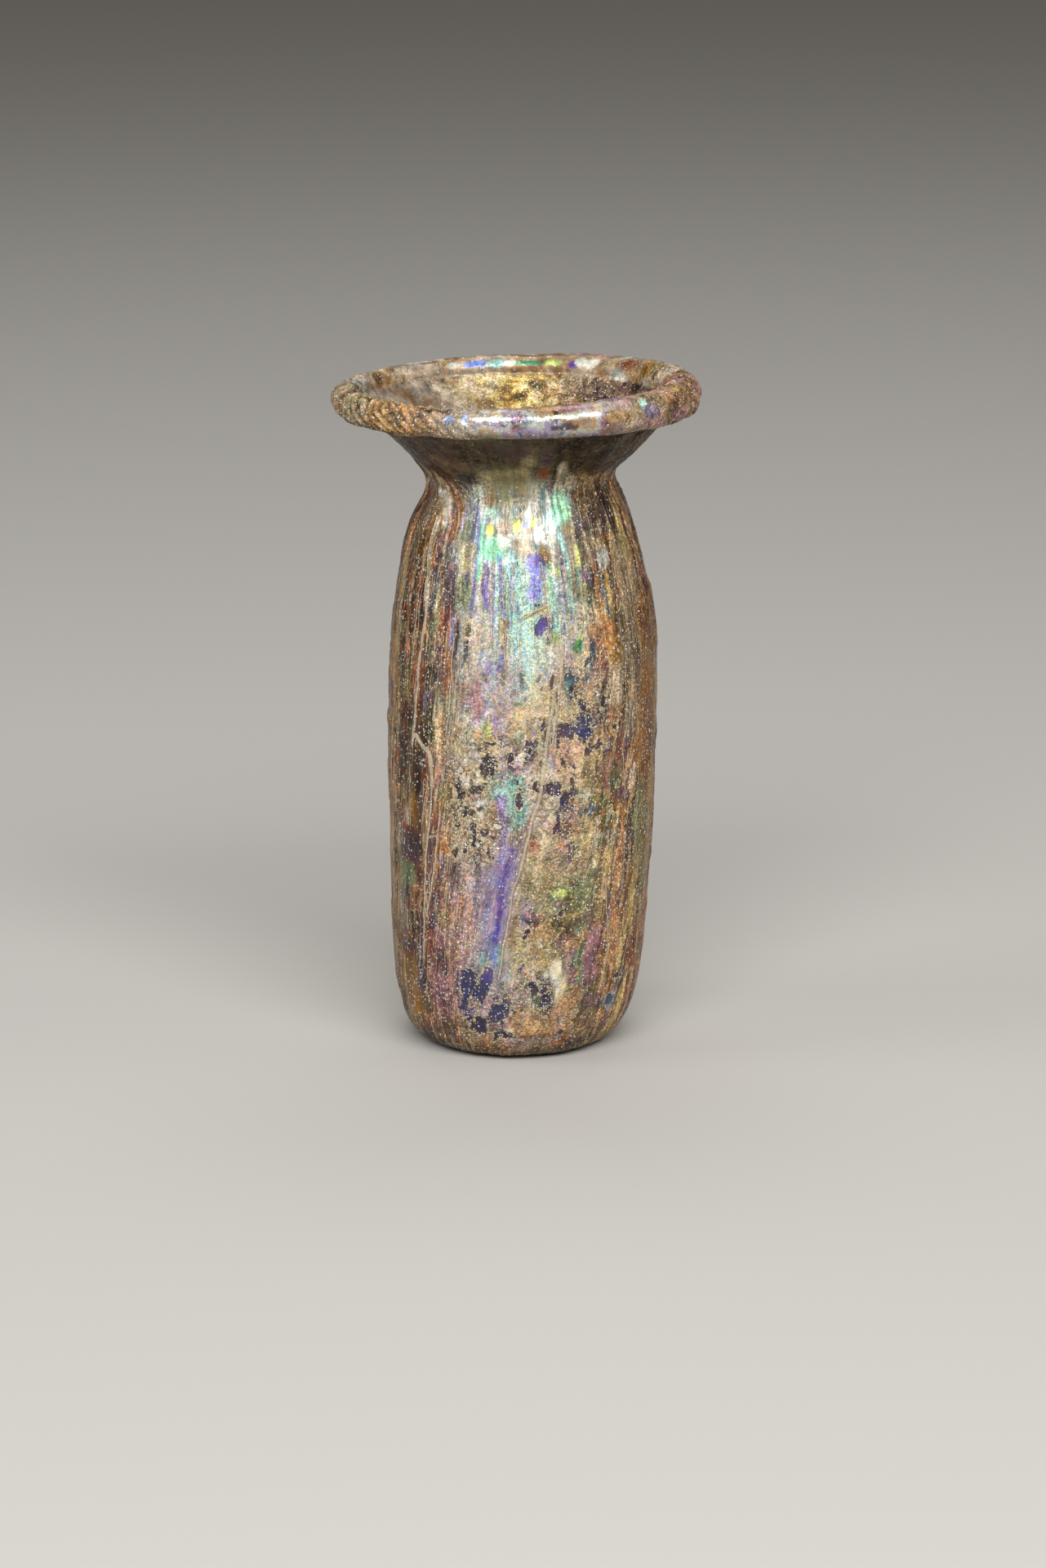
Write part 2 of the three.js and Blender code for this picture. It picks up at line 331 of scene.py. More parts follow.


# A spot in the tables below is its degrees, height, half width and half height, and its lean if it has one.
# Colour patches: colour, softness in mm, strength, spot. Later ones are painted over earlier ones.
# band under the neck, bright with the film's colours; its white, pearl and ice patches are partly painted
# highlight
# pale flakes among the beads, partly painted highlight
PATCHES = table("""
# wide, soft areas
moss 2 .6 24 24 5.5 4.5; olive 1.5 .45 13 18 3 3; khaki 1.5 .5 6 27 3 4; violet 1.5 .4 -17 11 3.6 5
lilac 2 .55 -18 22 4 9; lilac 2 .35 2 8 6 5; silver 1.5 .4 -12 14 3 3; amber 1.2 .8 66 50 3 15
honey 1 .6 72 44 2 12; umber .8 .7 -56 43 3 6; soot .4 .6 -50 30 1 7; peach 2 .3 2 46 4 8
beige .8 .5 -56 79 3 3.4; silver .5 .35 -64 26 1.2 9; peach 1 .45 25 52 3.6 7.5; sand 1 .4 -55 77 3.4 4
olive .6 .7 -61 54.5 2 2.5; honey .8 .7 -58 72.5 1.4 3; stone 1.5 .6 -68 78 2 8; stone .5 .75 58 69 3 5
stone .4 .75 53 58 2.6 7.5; beige .35 .6 43 55 1.6 3.2; grey .6 .8 51 49 1.4 2.6; copper .8 .75 37 61 2.8 3.4
honey .6 .7 43 59.5 1.5 2.4; rose .8 .6 22 44.5 2.2 3.4; olive .8 .6 33 42.5 1.8 2.8
moss .5 .7 44 41.5 1.2 2.4; beige .4 .8 54 41 .8 2.2; moss .8 .7 61 34 1.3 5; rust .8 .7 69 47 1.2 6
rust .8 .6 69 19 1.4 3.6; brown 1 .6 40 25 3 2.6; grey .5 .7 43 32.7 1.7 1.4; moss 1 .6 29 25.2 2 2.8
olive .8 .5 24 22 1.6 2.8; dusk .8 .6 2 36.5 1.2 3.6 8; dusk .5 .7 2 23 1 2.6; moss .6 .5 6 46 1.4 2.4 10
lilac 1 .5 -9 55 3 5
# funnel and neck
brown .8 .5 -38 86.6 3 1.7; stone .6 .4 -22 85.2 2.6 1.4; plum .6 .6 -5 88.2 3 1.1
bark .6 .6 24 86.4 2.4 1.6; soot 1.5 .5 -20 88 7 2.4; soot 1.5 .7 36 87.5 7 3.4; soot .4 .8 -29.5 83.5 1.7 .8
soot .4 .7 -20 87.2 .8 .9; khaki .6 .8 -8 82.6 4 2.8; khaki .6 .45 1.6 86 1 1.5 30; plum .5 .6 12 87 1.1 1.5
rust .3 .9 11.8 84.3 1.2 .75; brown .8 .5 -46 84.5 2.4 2; umber 1 .8 50 78.5 3.4 3.6
sand .6 .7 -52 79.5 2.2 1.2; stone .6 .7 -60 81.5 1.6 1.2
# bright band under the neck
mint .3 .95 -14 74.3 1.9 1.7; violet .2 .9 -20 76.8 .5 1.4; yellow .15 .95 -16.5 76.6 .6 .7
rose .3 .8 -9.5 76.9 1.3 1.2; white .3 .6 -8.6 75.1 1 .9; yellow .25 .8 -2.5 77.2 .9 .9
beige .3 .8 .5 74.3 2.1 1.2 20; beige .3 .7 -8.6 78.2 .9 1.7; blue .2 .8 2 77.4 .5 .8 10
copper .15 .8 3.2 76.4 .5 .4 20; lime .2 .9 6.8 77.5 .6 .7; pearl .3 .65 13 75.8 1.7 1.2
ice .4 .6 16 77.6 1.4 1.2; mint .6 .8 23 79.2 1.8 2.2; green .4 .6 22.4 78.6 .7 .5
copper .2 .8 28.6 81 .4 .4; sand .3 .8 25 76.2 1 .8; copper .3 .6 34 79.6 .7 .8; slate .2 .7 34.5 76.7 .4 .4
silver .3 .8 42 72.2 1.1 1.5; grey .3 .7 44.5 76 1.1 1; honey .3 .6 -20.5 80.7 .9 1; mint .3 .5 -17 79 1.1 .6
# shoulder
cream .25 .95 -27.3 72.8 1.2 2; moss .3 .8 -30 76.2 1 1.5; silver .3 .7 -35 73.4 .8 1.3
plum .25 .9 -34 68 .8 3.6; moss .4 .8 -27.4 68.2 1.1 2.2; bark .3 .7 -38.8 67.5 .5 3.2
iris .25 .85 5.4 70 1.05 3.2; purple .2 .9 8.2 72.4 .6 .9; honey .25 .9 11.2 72.8 .8 1.2
blue .2 .8 9.8 71.4 .45 1.3; yellow .3 .5 28 73 .6 1.4; lime .2 .7 17.3 71 .4 .7; teal .2 .9 26 70.4 .5 1.6
moss .4 .7 30 68 1.5 1.3; slate .15 .9 40.3 69 .5 1.7 -4; brown .5 .7 51 68.6 1.4 2.6
olive .4 .8 61 73.5 1.1 2.6; soot .15 .8 45.2 69.1 .3 1.1; silver .8 .7 18 67 2.4 3.4; rust .3 .75 -36 62 1 4
moss .3 .8 -42.5 63 .8 1.8; ink .2 .8 -40.8 60 1.3 .6; moss .3 .7 -43 59 .6 .9; plum .2 .95 -30.5 61 .75 3.9
soot .25 .9 -43 56.3 1.2 1.2; soot .25 .85 -45.5 53.8 .7 3.6; dusk .2 .8 -45.8 52 .45 1.5
blue .15 .8 -38.8 55.2 .25 .5; copper .3 .85 -33.8 55 1.05 2; mauve .35 .7 -20 53.5 .9 3
copper .3 .5 -27 54 .5 2.6
# middle of the body
umber .3 .85 -59 48.6 1.3 3.2; rust .2 .7 -60.5 48 .4 3; umber .25 .9 -44.8 47.1 1.5 1.6
rust .2 .85 -44.3 42 .9 2.2; soot .3 .8 -50 42.5 1 2.6; sand .2 .8 -3 50.7 .8 1.7; teal .2 .8 -2 48.5 .5 .5
green .12 .9 -2.6 52.7 .6 .22; lime .3 .5 -15 49.2 .6 1.2; peach .3 .7 -13 46 1.1 1.1
teal .3 .85 -7 41.4 2.7 2; ice .3 .7 -10 41 1.2 1.1; green .15 .95 24.3 60.8 .85 1.1
lime .15 .7 24.6 61.8 .4 .35; cream .2 .8 26 58.5 .8 .8; lime .3 .6 14.5 62.5 .8 1.2
sand .3 .8 17.5 51.6 1.1 1.3 20; tan .2 .85 31.8 49.4 1.1 1.4; tan .4 .6 24 54 1.6 2
sand .3 .7 10 53.5 .8 1.6; honey .3 .6 39 46 .7 2; olive .3 .7 66 57.7 .6 .8; silver .2 .8 -17 38.5 .75 1.8
teal .3 .85 -3.4 37.6 2 2.6; rose .3 .7 -11 36 .8 3; plum .3 .6 -2.4 34 .8 1.8; honey .2 1 -52.4 36.3 1.2 2.3
tan .4 .7 -63 37.8 1 1.8; beige .3 .6 -58 35.4 .9 1.4; plum .4 1 -56 30.6 2.5 2.2; olive .3 .9 -66 26 1.2 4.4
moss .5 1 -59 26.4 1.9 1.9; soot .4 .8 -55 18.8 1.4 1.8; rust .15 .9 -39.2 34.9 .75 1.8
copper .25 .8 -32 32.5 1 1.5; plum .4 .7 -30.6 28.5 1.4 2.1; lilac .2 .8 -35.8 30 .4 .6
slate .2 .8 -37.5 27.3 .4 .8; slate .3 .5 -40 22 .8 2.4; olive .4 .6 -35.4 21.8 1 1.6
mauve .4 .6 -36 18.5 1.4 1.6; rust .4 .5 -26 24 .6 1.6 4; dusk .4 .6 -18.5 26 .8 4 4
cream .3 .7 26.6 32.7 .9 1.3; gold .6 .5 27 33 1.6 1.8; soot .15 .8 31.5 31 .3 .7; soot .2 .6 44 35 .7 .8
lime .4 .5 18 25.7 1.2 .7; grey .2 .7 19 23.2 .9 1.1; soot .3 .7 58.6 18 .6 .9
# pale flakes among the beads
cream .2 .8 -27 46.2 1.2 .9; pearl .2 .8 -24 44.4 .9 .7; cream .2 .8 -19.4 43.2 1 .8
pearl .2 .8 -22.6 41.4 1.2 .8; silver .2 .8 -17.2 41.2 .8 .8; peach .2 .7 -16.4 45.8 .9 .7
# lower body
teal .4 .8 -11.6 17 1.7 2.6 10; ink .4 .4 -20.5 12.2 2 2.8 8; olive .8 .6 68 28 2 10
pearl .2 1 16.8 14.3 .8 1.5 -8; pearl .2 1 19.6 11.8 .75 1.6 -14; mauve .25 .9 34.6 15.8 1.5 4.4 3
copper .2 .8 36.5 20.6 .9 .5; soot .15 .85 29 17 .4 2.4; umber .15 .7 29.6 12.6 .25 1.8 -6
honey .4 1 -57 9.5 2.6 4.4; mauve .8 .7 -36 11 2.6 4.6; plum .5 .5 -38 14.5 1.4 1.4; copper .6 .6 44 14 1.6 5
umber .3 .8 54 11.4 2 1.2; slate .25 .8 49 8.2 1.4 1.1
# heel
copper .25 .8 8 6.3 3.6 2.6; tan .4 .8 9 6.6 2.8 1.8; rose .3 .6 6 8.5 1.8 1; tan .5 .7 37 5.5 2.6 2
brown .5 .7 -34 5.6 2.6 1.4; tan .4 .6 22 9 1.4 2.6
""")

# Streaks painted along the wall: colour, half width in mm, strength, then places.
# The first pearl streak, along the fold left of the neck, is a painted highlight; the white streak at -13
# degrees under the neck is partly one.
BANDS = table("""
pearl .4 1 -60/81 -54/80.8 -49/80 -45.6/78.6 -44.6/77; umber .25 .9 -57/79 -51/78.6 -48/76 -48.6/72
pearl .2 .9 -51/77.4 -51.8/74 -50.4/70 -48.6/66; soot .18 .8 37.4/58 36.6/53.6 36.4/48.4
sand .5 .7 -58.5/83 -54/82.2 -50.5/81; copper .85 .9 -44/82.2 -38.5/79.6 -37/77.1 -38/75.4
honey .4 .7 -38.5/79 -37.4/77 -38.5/76; lilac .3 .7 -35/80 -33/78.8 -34/77
soot .3 .9 -53.5/77.7 -52.6/74.3 -51.3/68.8 -50.5/62
sand .28 .9 -50.4/78.5 -51.5/76.5 -51.3/74.3 -50/71.5 -47.9/67 -47.4/62
copper .4 .9 -47.6/77.5 -48.3/74.3 -47/71.5; plum .2 .8 -46.4/76 -46/72
slate .35 .9 -45.3/70.4 -43.5/68.8 -44.4/65.2; cream .15 .7 -42.2/69 -42/65
honey .5 .8 -56/79 -55.4/74 -54.6/70; umber .3 .7 -57.4/77 -58/70 -59/64
blue .25 .9 -25/79.3 -22.9/77 -22/73 -22.4/70 -23.7/65; mint .3 .9 -20.5/77.7 -20.3/73 -20.6/70
white .2 .8 -13/78 -11/75.5; violet .35 .8 -17.5/72 -16.8/69.5 -16/66.5
blue .35 .8 -10.8/73.2 -9.4/69 -8.6/65; lilac .3 .8 -5/72 -4.4/66; lilac .25 .7 -14/71 -13/62
ice .3 .8 -7/73 -6.6/65; ice .3 .9 19.8/76 21/74 23.6/71 23/66; rose .2 .8 24.3/72.4 24.8/68
mint .2 .7 13/72 12.6/66; ice .2 .7 15/70 15/63; beige .7 .8 20.7/85.4 22.8/83.8 28.4/82.7 32/82
soot .3 .8 16.6/89 17.4/86 18.6/82; soot .5 .7 53/78.8 61/80.2 69/81.5
copper .35 .9 36.6/71.5 37/68.5 38.5/64.5; umber .2 .8 35/70.4 35.6/66; slate .35 .85 41.2/68 42.7/64.6
gold .28 .9 42.7/70.6 43.2/68.2 45/64.6; gold .18 .7 64/77 65/72; rust .2 .8 -51/60.4 -53/54 -54.6/50
rust .4 .8 -47.6/57 -49/53 -50.4/49.6; copper .25 1 -34.2/63.6 -33.4/57.2; blue .18 .7 -32.8/64.6 -32.4/60
silver .25 .8 -27.6/64 -27.4/56; ink .18 .9 -24.6/61.4 -24.8/59; blue .28 .9 -8.8/60.9 -8.6/59.3 -9.6/58.2
violet .22 .9 -9.6/58.4 -10.8/57.4; violet .25 .9 -14.2/58.6 -14.6/57.6; ink .22 .8 -17.2/57.2 -16.2/56.2
violet .25 .8 -11.9/51 -11.6/49; slate .3 .8 -.8/57 -.2/55.2; soot .18 .9 -41.8/51.8 -41.2/50.4 -40.2/49.2
cream .15 .8 -40.9/51.6 -39.4/49.2; lilac .35 .7 -8.6/50 -8.2/46 -8.4/41.5; sand .25 .8 -37.4/52 -38/46
rose .4 .6 -31/52 -31/46; copper .3 .7 -35.4/51 -35.8/44; copper .4 .8 49.5/37.4 48.6/29 47/20
cream .3 .8 32.6/33.2 34/29; violet .55 .9 -8.8/39.6 -7.4/35.4 -7.6/32; tan .35 .8 -44/40 -45.4/28
dusk .9 .75 -12/27.5 -14.4/21 -15.6/17.5; dusk .7 .7 -10.4/31 -12.6/25
lilac 2 .7 -5.8/31.4 -8.8/25.3 -11.4/20; violet 1.2 .85 -4.8/31.4 -7.8/25.3 -10.4/20
dusk .7 .8 -10.8/19.5 -12.2/15; blue .5 .7 -9/22 -11.8/15; mauve .3 .6 -11.6/26.4 -12.2/24.4
purple .28 .95 -5.1/30.6 -7.8/25.3 -10.3/18.6; lilac .28 .9 -2.6/29 -5.4/22.5 -7.6/18.4
lilac .2 .8 -9.8/27 -12.6/20.5; dusk .4 .7 -13.4/29.5 -14.8/24; honey .3 .6 -2.2/22.4 -3.4/19
copper .5 .5 -26/25 -28.5/16; rose .5 .6 -22/24 -23.4/17; lilac .25 .7 -7/15.5 -9/12.6
cream .35 1 16.6/15.5 17/14.2 20.4/13.2 21.6/11.8 18.6/10.4
soot .24 .7 -29/6.2 -20/4.6 -10/5.4 0/4.2 10/4 22/4.6; cream .2 .9 -11/4.4 -5.5/5 -2.8/5.6 -1/4.8
sand .25 .8 61/9.4 62/11 66/11.6 70/11; gold .2 .9 1/65.1 6/65.8 11.4/66.1; tan .4 .7 44/20 43/10
honey .4 .6 55/31 56/20; umber .25 .6 57.4/34 58.6/24; sand .2 .6 51.4/33 52/22
""")

# Flaked hollows down to the dark layers: colour of the floor, spot.
PITS = table("""
ink 7.4 63.8 .6 1.2 20; purple 9.6 64.3 .5 .9 10; navy 7.8 66.6 .5 .3; slate 28.8 58.5 .4 1.1 20
slate 19.4 56.2 .7 1.1 -14; teal 20.6 54.2 .6 .9 -10; ink 22.8 54.5 .3 .4; bark 12.7 55.8 .5 1
navy 8.2 55.2 .3 .35; soot 35.6 52.4 .5 1.2 10; ink 25.4 52.4 .5 .9 -25; ink 27.5 50.9 .35 .6 -30
mauve 18 49.2 .9 1.3; plum 21 49 .5 1.2; navy 24.6 49.4 1.1 1.2 -25; plum 15.8 47.6 .3 1.4 4
plum 8.9 50 .4 1.05 10; plum 17.8 44.6 .3 1.1 -30; plum 32.5 46.5 1.1 .4; soot 42 49 .3 .5; ink 3 46.3 .35 .6
plum 5.4 41.2 .35 .9; plum 13 41 1.1 1.1; navy 18.5 39.5 .75 1.2 25; plum 21 41.4 .35 1.4
navy 15.2 37 .4 1.1 -10; plum 15.5 35.2 .6 .6; slate 29.2 37 .5 .5; plum 22 33 .3 .35; plum 22.8 31 .35 .3
umber 18.6 22.8 .4 .5 20; umber -15 44 1.1 1.5 20; plum -14.2 47.3 .9 .35 -8; umber -28 41 .5 1.2
umber -19.8 40.8 .9 .5; plum -5.2 45 .5 .7; soot -26.5 39.5 .5 .8 10; soot -27 35.4 .4 .8
ink -20.4 33.9 .4 2.1 4; plum -15.5 34.6 .5 .6; umber -21 37.4 .6 .5 20; umber -24.2 37.2 .4 .6
ink -24 31.4 .5 .5; soot -29 31.2 .3 .9; plum -13.4 31.8 .35 .9; plum -1 39.6 .4 1.2; ink 3.4 20 .45 .9 10
olive -24.9 63 .4 .9; umber -46.6 43.4 .3 .4; ink -51.5 13.6 .35 1.4; navy -23.6 12.4 1.1 2 6
navy -25 9.4 .55 1.5 14; purple -15.5 12 .8 2.9 16; navy -18 10.6 .9 1.4 16; navy -10 7.8 1.2 1.5 14
ink -18.5 5.6 1.5 1; ink -6 4.2 1.5 .45; purple .8 14.5 .4 1 20; moss 5.6 12 .9 .5; ink 8 11 .5 1.2 -10
ink 12 11.6 .5 .9 10; moss 11.4 9.4 1.2 .6; ink 14 10.2 .35 .8; navy 22.7 4.4 .6 .5; slate 49 8.2 1 .8
moss 29 16.2 .35 1.6; umber 53 11.4 1.2 .5
""")

# Thin pale lines, edges of the outermost film and trails in the glass: half width in mm, then places.
# The line from -59.5 degrees, along the fold left of the neck, is a painted highlight.
LINES = table("""
.2 152/74 149/58 143/41 141/20; .14 -112/70 -116/52 -124/34; .16 -168/52 -160/36 -158/22
.1 98/62 101/40 107/18; .2 15.2/62 13/54.3 10.8/49.3 7.8/40.6 5.2/37; .12 17.2/61 15.4/55 12.6/47
.17 9.4/44 7.8/40.6 5.2/37 1.7/32.3 .2/29.5; .13 .2/29.5 -3/26 -6.6/18 -9/13
.24 -47.4/66 -48.7/61.8 -50.4/55.4 -52.2/49.3 -53.5/45.4; .3 -51/47 -47.2/45.7 -43.4/45.2 -41.8/43.8 -41/40.2
.16 -41/42 -41.8/36.4 -44/30.9 -46.1/22.6 -48.7/14; .14 -36.6/36.7 -38.4/30.9 -40.5/27.6 -44.4/21.4
.1 -41/33 -38/33.2 -36.6/36; .1 -55.6/42 -55.8/34; .08 40/27 45/14; .08 33.5/35 30/30; .08 48/45 49.5/38
.08 -12/76.5 -4/75.2; .09 -31/62 -32.5/54 -34/48; .16 -59.5/80.6 -53.5/80.5 -48.5/79.6 -45.3/78.2 -44.6/76.8
.11 -51.6/77.5 -52.4/74 -50.6/69.5 -48.6/65; .09 -55/73 -54/66 -55.5/58; .09 -29.6/57 -30.6/50 -31/46
.09 -8/64 -7.4/57; .08 9.6/72 11.6/62; .1 4.4/82.5 3/79.6 -4/77.8; .14 .6/65 5/65.9 9/66.2 11.6/65.2
""")

# Where the film has broken up into pearly beads: strength, spot.
BEADS = table("""
.8 168 44 5 6; .7 -140 26 4 7; .5 112 18 3 7; .6 -165 12 5 4; 1 -21 44.5 4.4 4.2; .9 -19 34.5 4 4.6
.7 10 50 1.6 4; .6 24 54 3.2 4.6; .7 16 38 3.6 4.2; .6 -9 48 2.4 2.4; .8 -4 10 3 3.4; .7 12 10 2.4 3.2
.5 27 32 2.4 3; .5 -18 7 3.4 4; .5 36 50 1.6 5; .4 0 30 2 6
""")

# Where gold and silver grit lies thickest: strength, spot.
GRIT = table("""
1 -21 44.5 4.2 3.8; .8 -21 36 3.6 4.4; 1 12.5 73.6 .8 1.3; .9 54 24 3.4 12; .6 -55 72 3.4 8; 1 -6 10 1.2 1.2
1 7 12.2 1.8 .7; .9 11 8.6 1.6 .8; 1 -25 80.6 1.2 .8; .5 -45 60 3.4 16; .5 24 54 3.6 6; .5 -36 16 6 12
.5 42 64 4 8; .5 26 36 4 6; .7 64 34 3 16; .45 18 22 6 8; .4 60 56 3 10; .8 -19 4.8 2.4 .8
1 -25.8 63.6 .5 .9; .3 -60 45 3 30; .5 -45 9 6 5
""")

# Where the surface is smoother than elsewhere: strength, spot.
CALM = table("""
.8 -57 29 2.8 7; .8 -66 26 1.4 5; .95 -52.4 36.3 1.2 2.4; .6 -56 43 3 5; .9 17 14.2 1 1.8; .9 19.6 11.8 1 1.8
.5 -54 79 3 2; .8 -5 82.3 4.2 2.6; .6 0 88 60 4.2; .6 0 76 9 3.4; .8 -61 9.5 3.4 4.4; .7 69 50 3.6 12
.6 -53 35.8 2 3.2; .5 -56 48 2.4 5; .5 -56 30 2.4 4; .7 5.8 71.4 1.2 2.8; .5 32.5 17.2 1.6 4.2; .5 -9 24 2 12
.3 54 66 4 8
""")

# Where small hollows are scattered by chance: spot.
SCATTER = table("-21 38 4.2 8.5; 18 48 5 11; -14 8 5 6; 12 9 4 4; 160 46 6 10; -146 24 5 9")

# Where the film is painted lighter or darker than its colours, partly its own tone and partly painted light
# and shade, such as a painted highlight on the folds left of the neck and painted shade at the sides: how
# much, from and to which depth in the spot, spot.
TONE_AND_PAINTED_LIGHT = table("""
-.42 -2 2 1 76.5 9 4.4; .6 -2 2 -54 78 4 6; -.14 -3 3 3 50 5 14; .3 -2 2 30 49 4 11; .25 -1 1 -9 24 2.4 10 13
-.38 -1 2 -5 82.5 5 3; -.5 -1 2 68 46 3.4 19; -.15 -2 2 -38 64 3.5 8; -.16 -2 2 50 64 5 10
.25 -2 2 -42 79 6 3.6
""")

# Patches on the roll: colour, degrees round the flask, degrees round the roll's tube, half sizes in the same.
# The white spots 27 degrees round the tube at the front, and 142 and 148 degrees round it on the far side,
# are painted highlights where the tube faces the key light.
RIM_SPOTS = table("""
sky -20.5 26 1.7 16; sky -15 24 1 20; umber -25 62 6 12; beige -140 140 16 40; brown -148 112 5 12
brown -158 118 4 10; silver -156 142 4 12; azure -166 146 5 16; ice -173 146 5 18; white -179 148 3 16
green 174 150 8 12; lime 165 148 4 13; brown 170 112 14 12; purple 157 154 2.4 16; white 151 142 6 22
mauve 149 108 9 12; sand 139 132 3 30; rust 131 138 6.5 34; brown 126 146 3 14; honey 118 138 5.5 34
olive 113 122 4 30; umber 110 148 2 20; rose 2 70 6 14; umber 13 40 .7 60; gold 12 78 6 8; mauve 20 62 8 14
white -6 27 7 10; white 20 27 8 10; ice 44 34 1.2 30; dusk 47 10 4 30; plum 15 -10 6 16; silver 5 8 9 12
tan 33 10 6 30; brown 62 20 8 30
""")


# ---- places on the unrolled wall ----------------------------------------------------------------
RAGGED, LINE_RAGGED = 0.35, 0.12  # how far noise moves the edges of patches and of lines, in mm
FAR = 9.0  # mm, stands for any place out of reach


def turned(degrees, centre):
    """The angle from a centre, from -180 to 180."""
    return (degrees - centre + 180) % 360 - 180


class Wall:
    """Reads places off the unrolled outside of the skin."""

    def __init__(self, skin):
        self.degrees, self.z = skin.degrees, skin.z
        self.outside = (skin.part == OUTSIDE) | (skin.part == UNDERSIDE)
        p = skin.points
        self.warp = (noise(p, 2.6, 11), noise(p, 2.6, 12))
        self.fray = (noise(p, 0.9, 13), noise(p, 0.9, 14))

    def offsets(self, degrees, z, ragged):
        """How far across and up each vertex lies from a place, in mm, with noise that frays what is drawn."""
        u = np.radians(turned(self.degrees, degrees)) * BODY_RADIUS
        u = u + ragged * (self.warp[0] + 0.5 * self.fray[0])
        return u, self.z - z + ragged * (self.warp[1] + 0.5 * self.fray[1])

    def spot(self, degrees, z, half_width, half_height, lean=0.0, ragged=0.0):
        """How far inside an oval patch each vertex lies, in mm. lean turns its top towards +X, in degrees."""
        u, v = self.offsets(degrees, z, ragged)
        c, s = math.cos(math.radians(lean)), math.sin(math.radians(lean))
        across, up = u * c - v * s, u * s + v * c
        reach = (np.abs(across / half_width)**3 + np.abs(up / half_height)**3)**(1 / 3)
        inside = (1 - reach) * min(half_width, half_height)
        return np.where(self.outside, inside, -FAR)

    def strongest(self, rows, value, ragged, soft):
        """The greater of a value and of the strengths of a table's spots."""
        for strength, *spot in rows:
            value = np.maximum(value, strength * smooth(-soft, soft, self.spot(*spot, ragged=ragged)))
        return value

    def stroke(self, places):
        """Distance in mm from a line through the given places, negative on its left."""
        best = np.full(len(self.z), FAR)
        u0, v0 = self.offsets(0, 0, LINE_RAGGED)
        for (d0, z0), (d1, z1) in zip(places[:-1], places[1:]):
            a = np.array([math.radians(d0) * BODY_RADIUS, z0])
            b = np.array([math.radians(d1) * BODY_RADIUS, z1])
            along_line = b - a
            t = ((u0 - a[0]) * along_line[0] + (v0 - a[1]) * along_line[1]) / (along_line @ along_line)
            t = np.clip(t, 0, 1)
            away = np.hypot(u0 - a[0] - t * along_line[0], v0 - a[1] - t * along_line[1])
            side = np.sign((v0 - a[1]) * along_line[0] - (u0 - a[0]) * along_line[1])
            best = np.where(away < np.abs(best), away * side, best)
        return np.where(self.outside, best, FAR)


# How far the streaks have turned at heights on the body, and how the folds at the left of the neck turn them.
DRIFT_HEIGHTS, DRIFT_DEGREES = (0, 14, 28, 35, 44, 57, 200), (28, 23, 14, 10.5, 5.2, 0, 0)
FOLD_CENTRE, FOLD_WIDTH, FOLD_START, FOLD_TURN = -48, 14, 77.5, 2.6


def flow_angle(degrees, z):
    """The angle that a streak of the blown glass keeps: the streaks turn as they run down the body."""
    turn = 0.45 + 0.55 * np.maximum(0, np.cos(np.radians(degrees)))**3
    drift = np.interp(z, DRIFT_HEIGHTS, DRIFT_DEGREES)
    neck = np.maximum(0, z - FOLD_START) * FOLD_TURN * np.exp(-((degrees - FOLD_CENTRE) / FOLD_WIDTH)**2)
    return degrees + turn * drift + neck


# ---- colours over the skin ----------------------------------------------------------------------
def ramp(x, name):
    """The colour of a ramp at each x, blended in light values."""
    places, colours = stops(name)
    return np.stack([np.interp(x, places, channel) for channel in np.array(colours).T], axis=1)


def blend(a, b, share):
    """a where the share is 0, b where it is 1. b may be the name of a colour."""
    b = linear(b) if isinstance(b, str) else b
    share = np.asarray(share)[:, None]
    return a * (1 - share) + b * share


def facing(degrees, centre, width):
    """1 at an angle round the flask, falling smoothly to 0 at a width to either side."""
    return 1 - smooth(0, width, np.abs(turned(degrees, centre)))


def bare_glass(skin):
    """The share of bare amber glass at both sides, in ragged islands between the film."""
    share = np.maximum(facing(skin.degrees, 82, 30), 0.8 * facing(skin.degrees, -86, 26))**0.6
    islands = noise(skin.points, 7.0, 25) + 0.5 * noise(skin.points, 2.0, 26)
    return share * (1 - smooth(64, 70, skin.z)) * smooth(4, 10, skin.z) * smooth(-0.25, 0.1, islands)


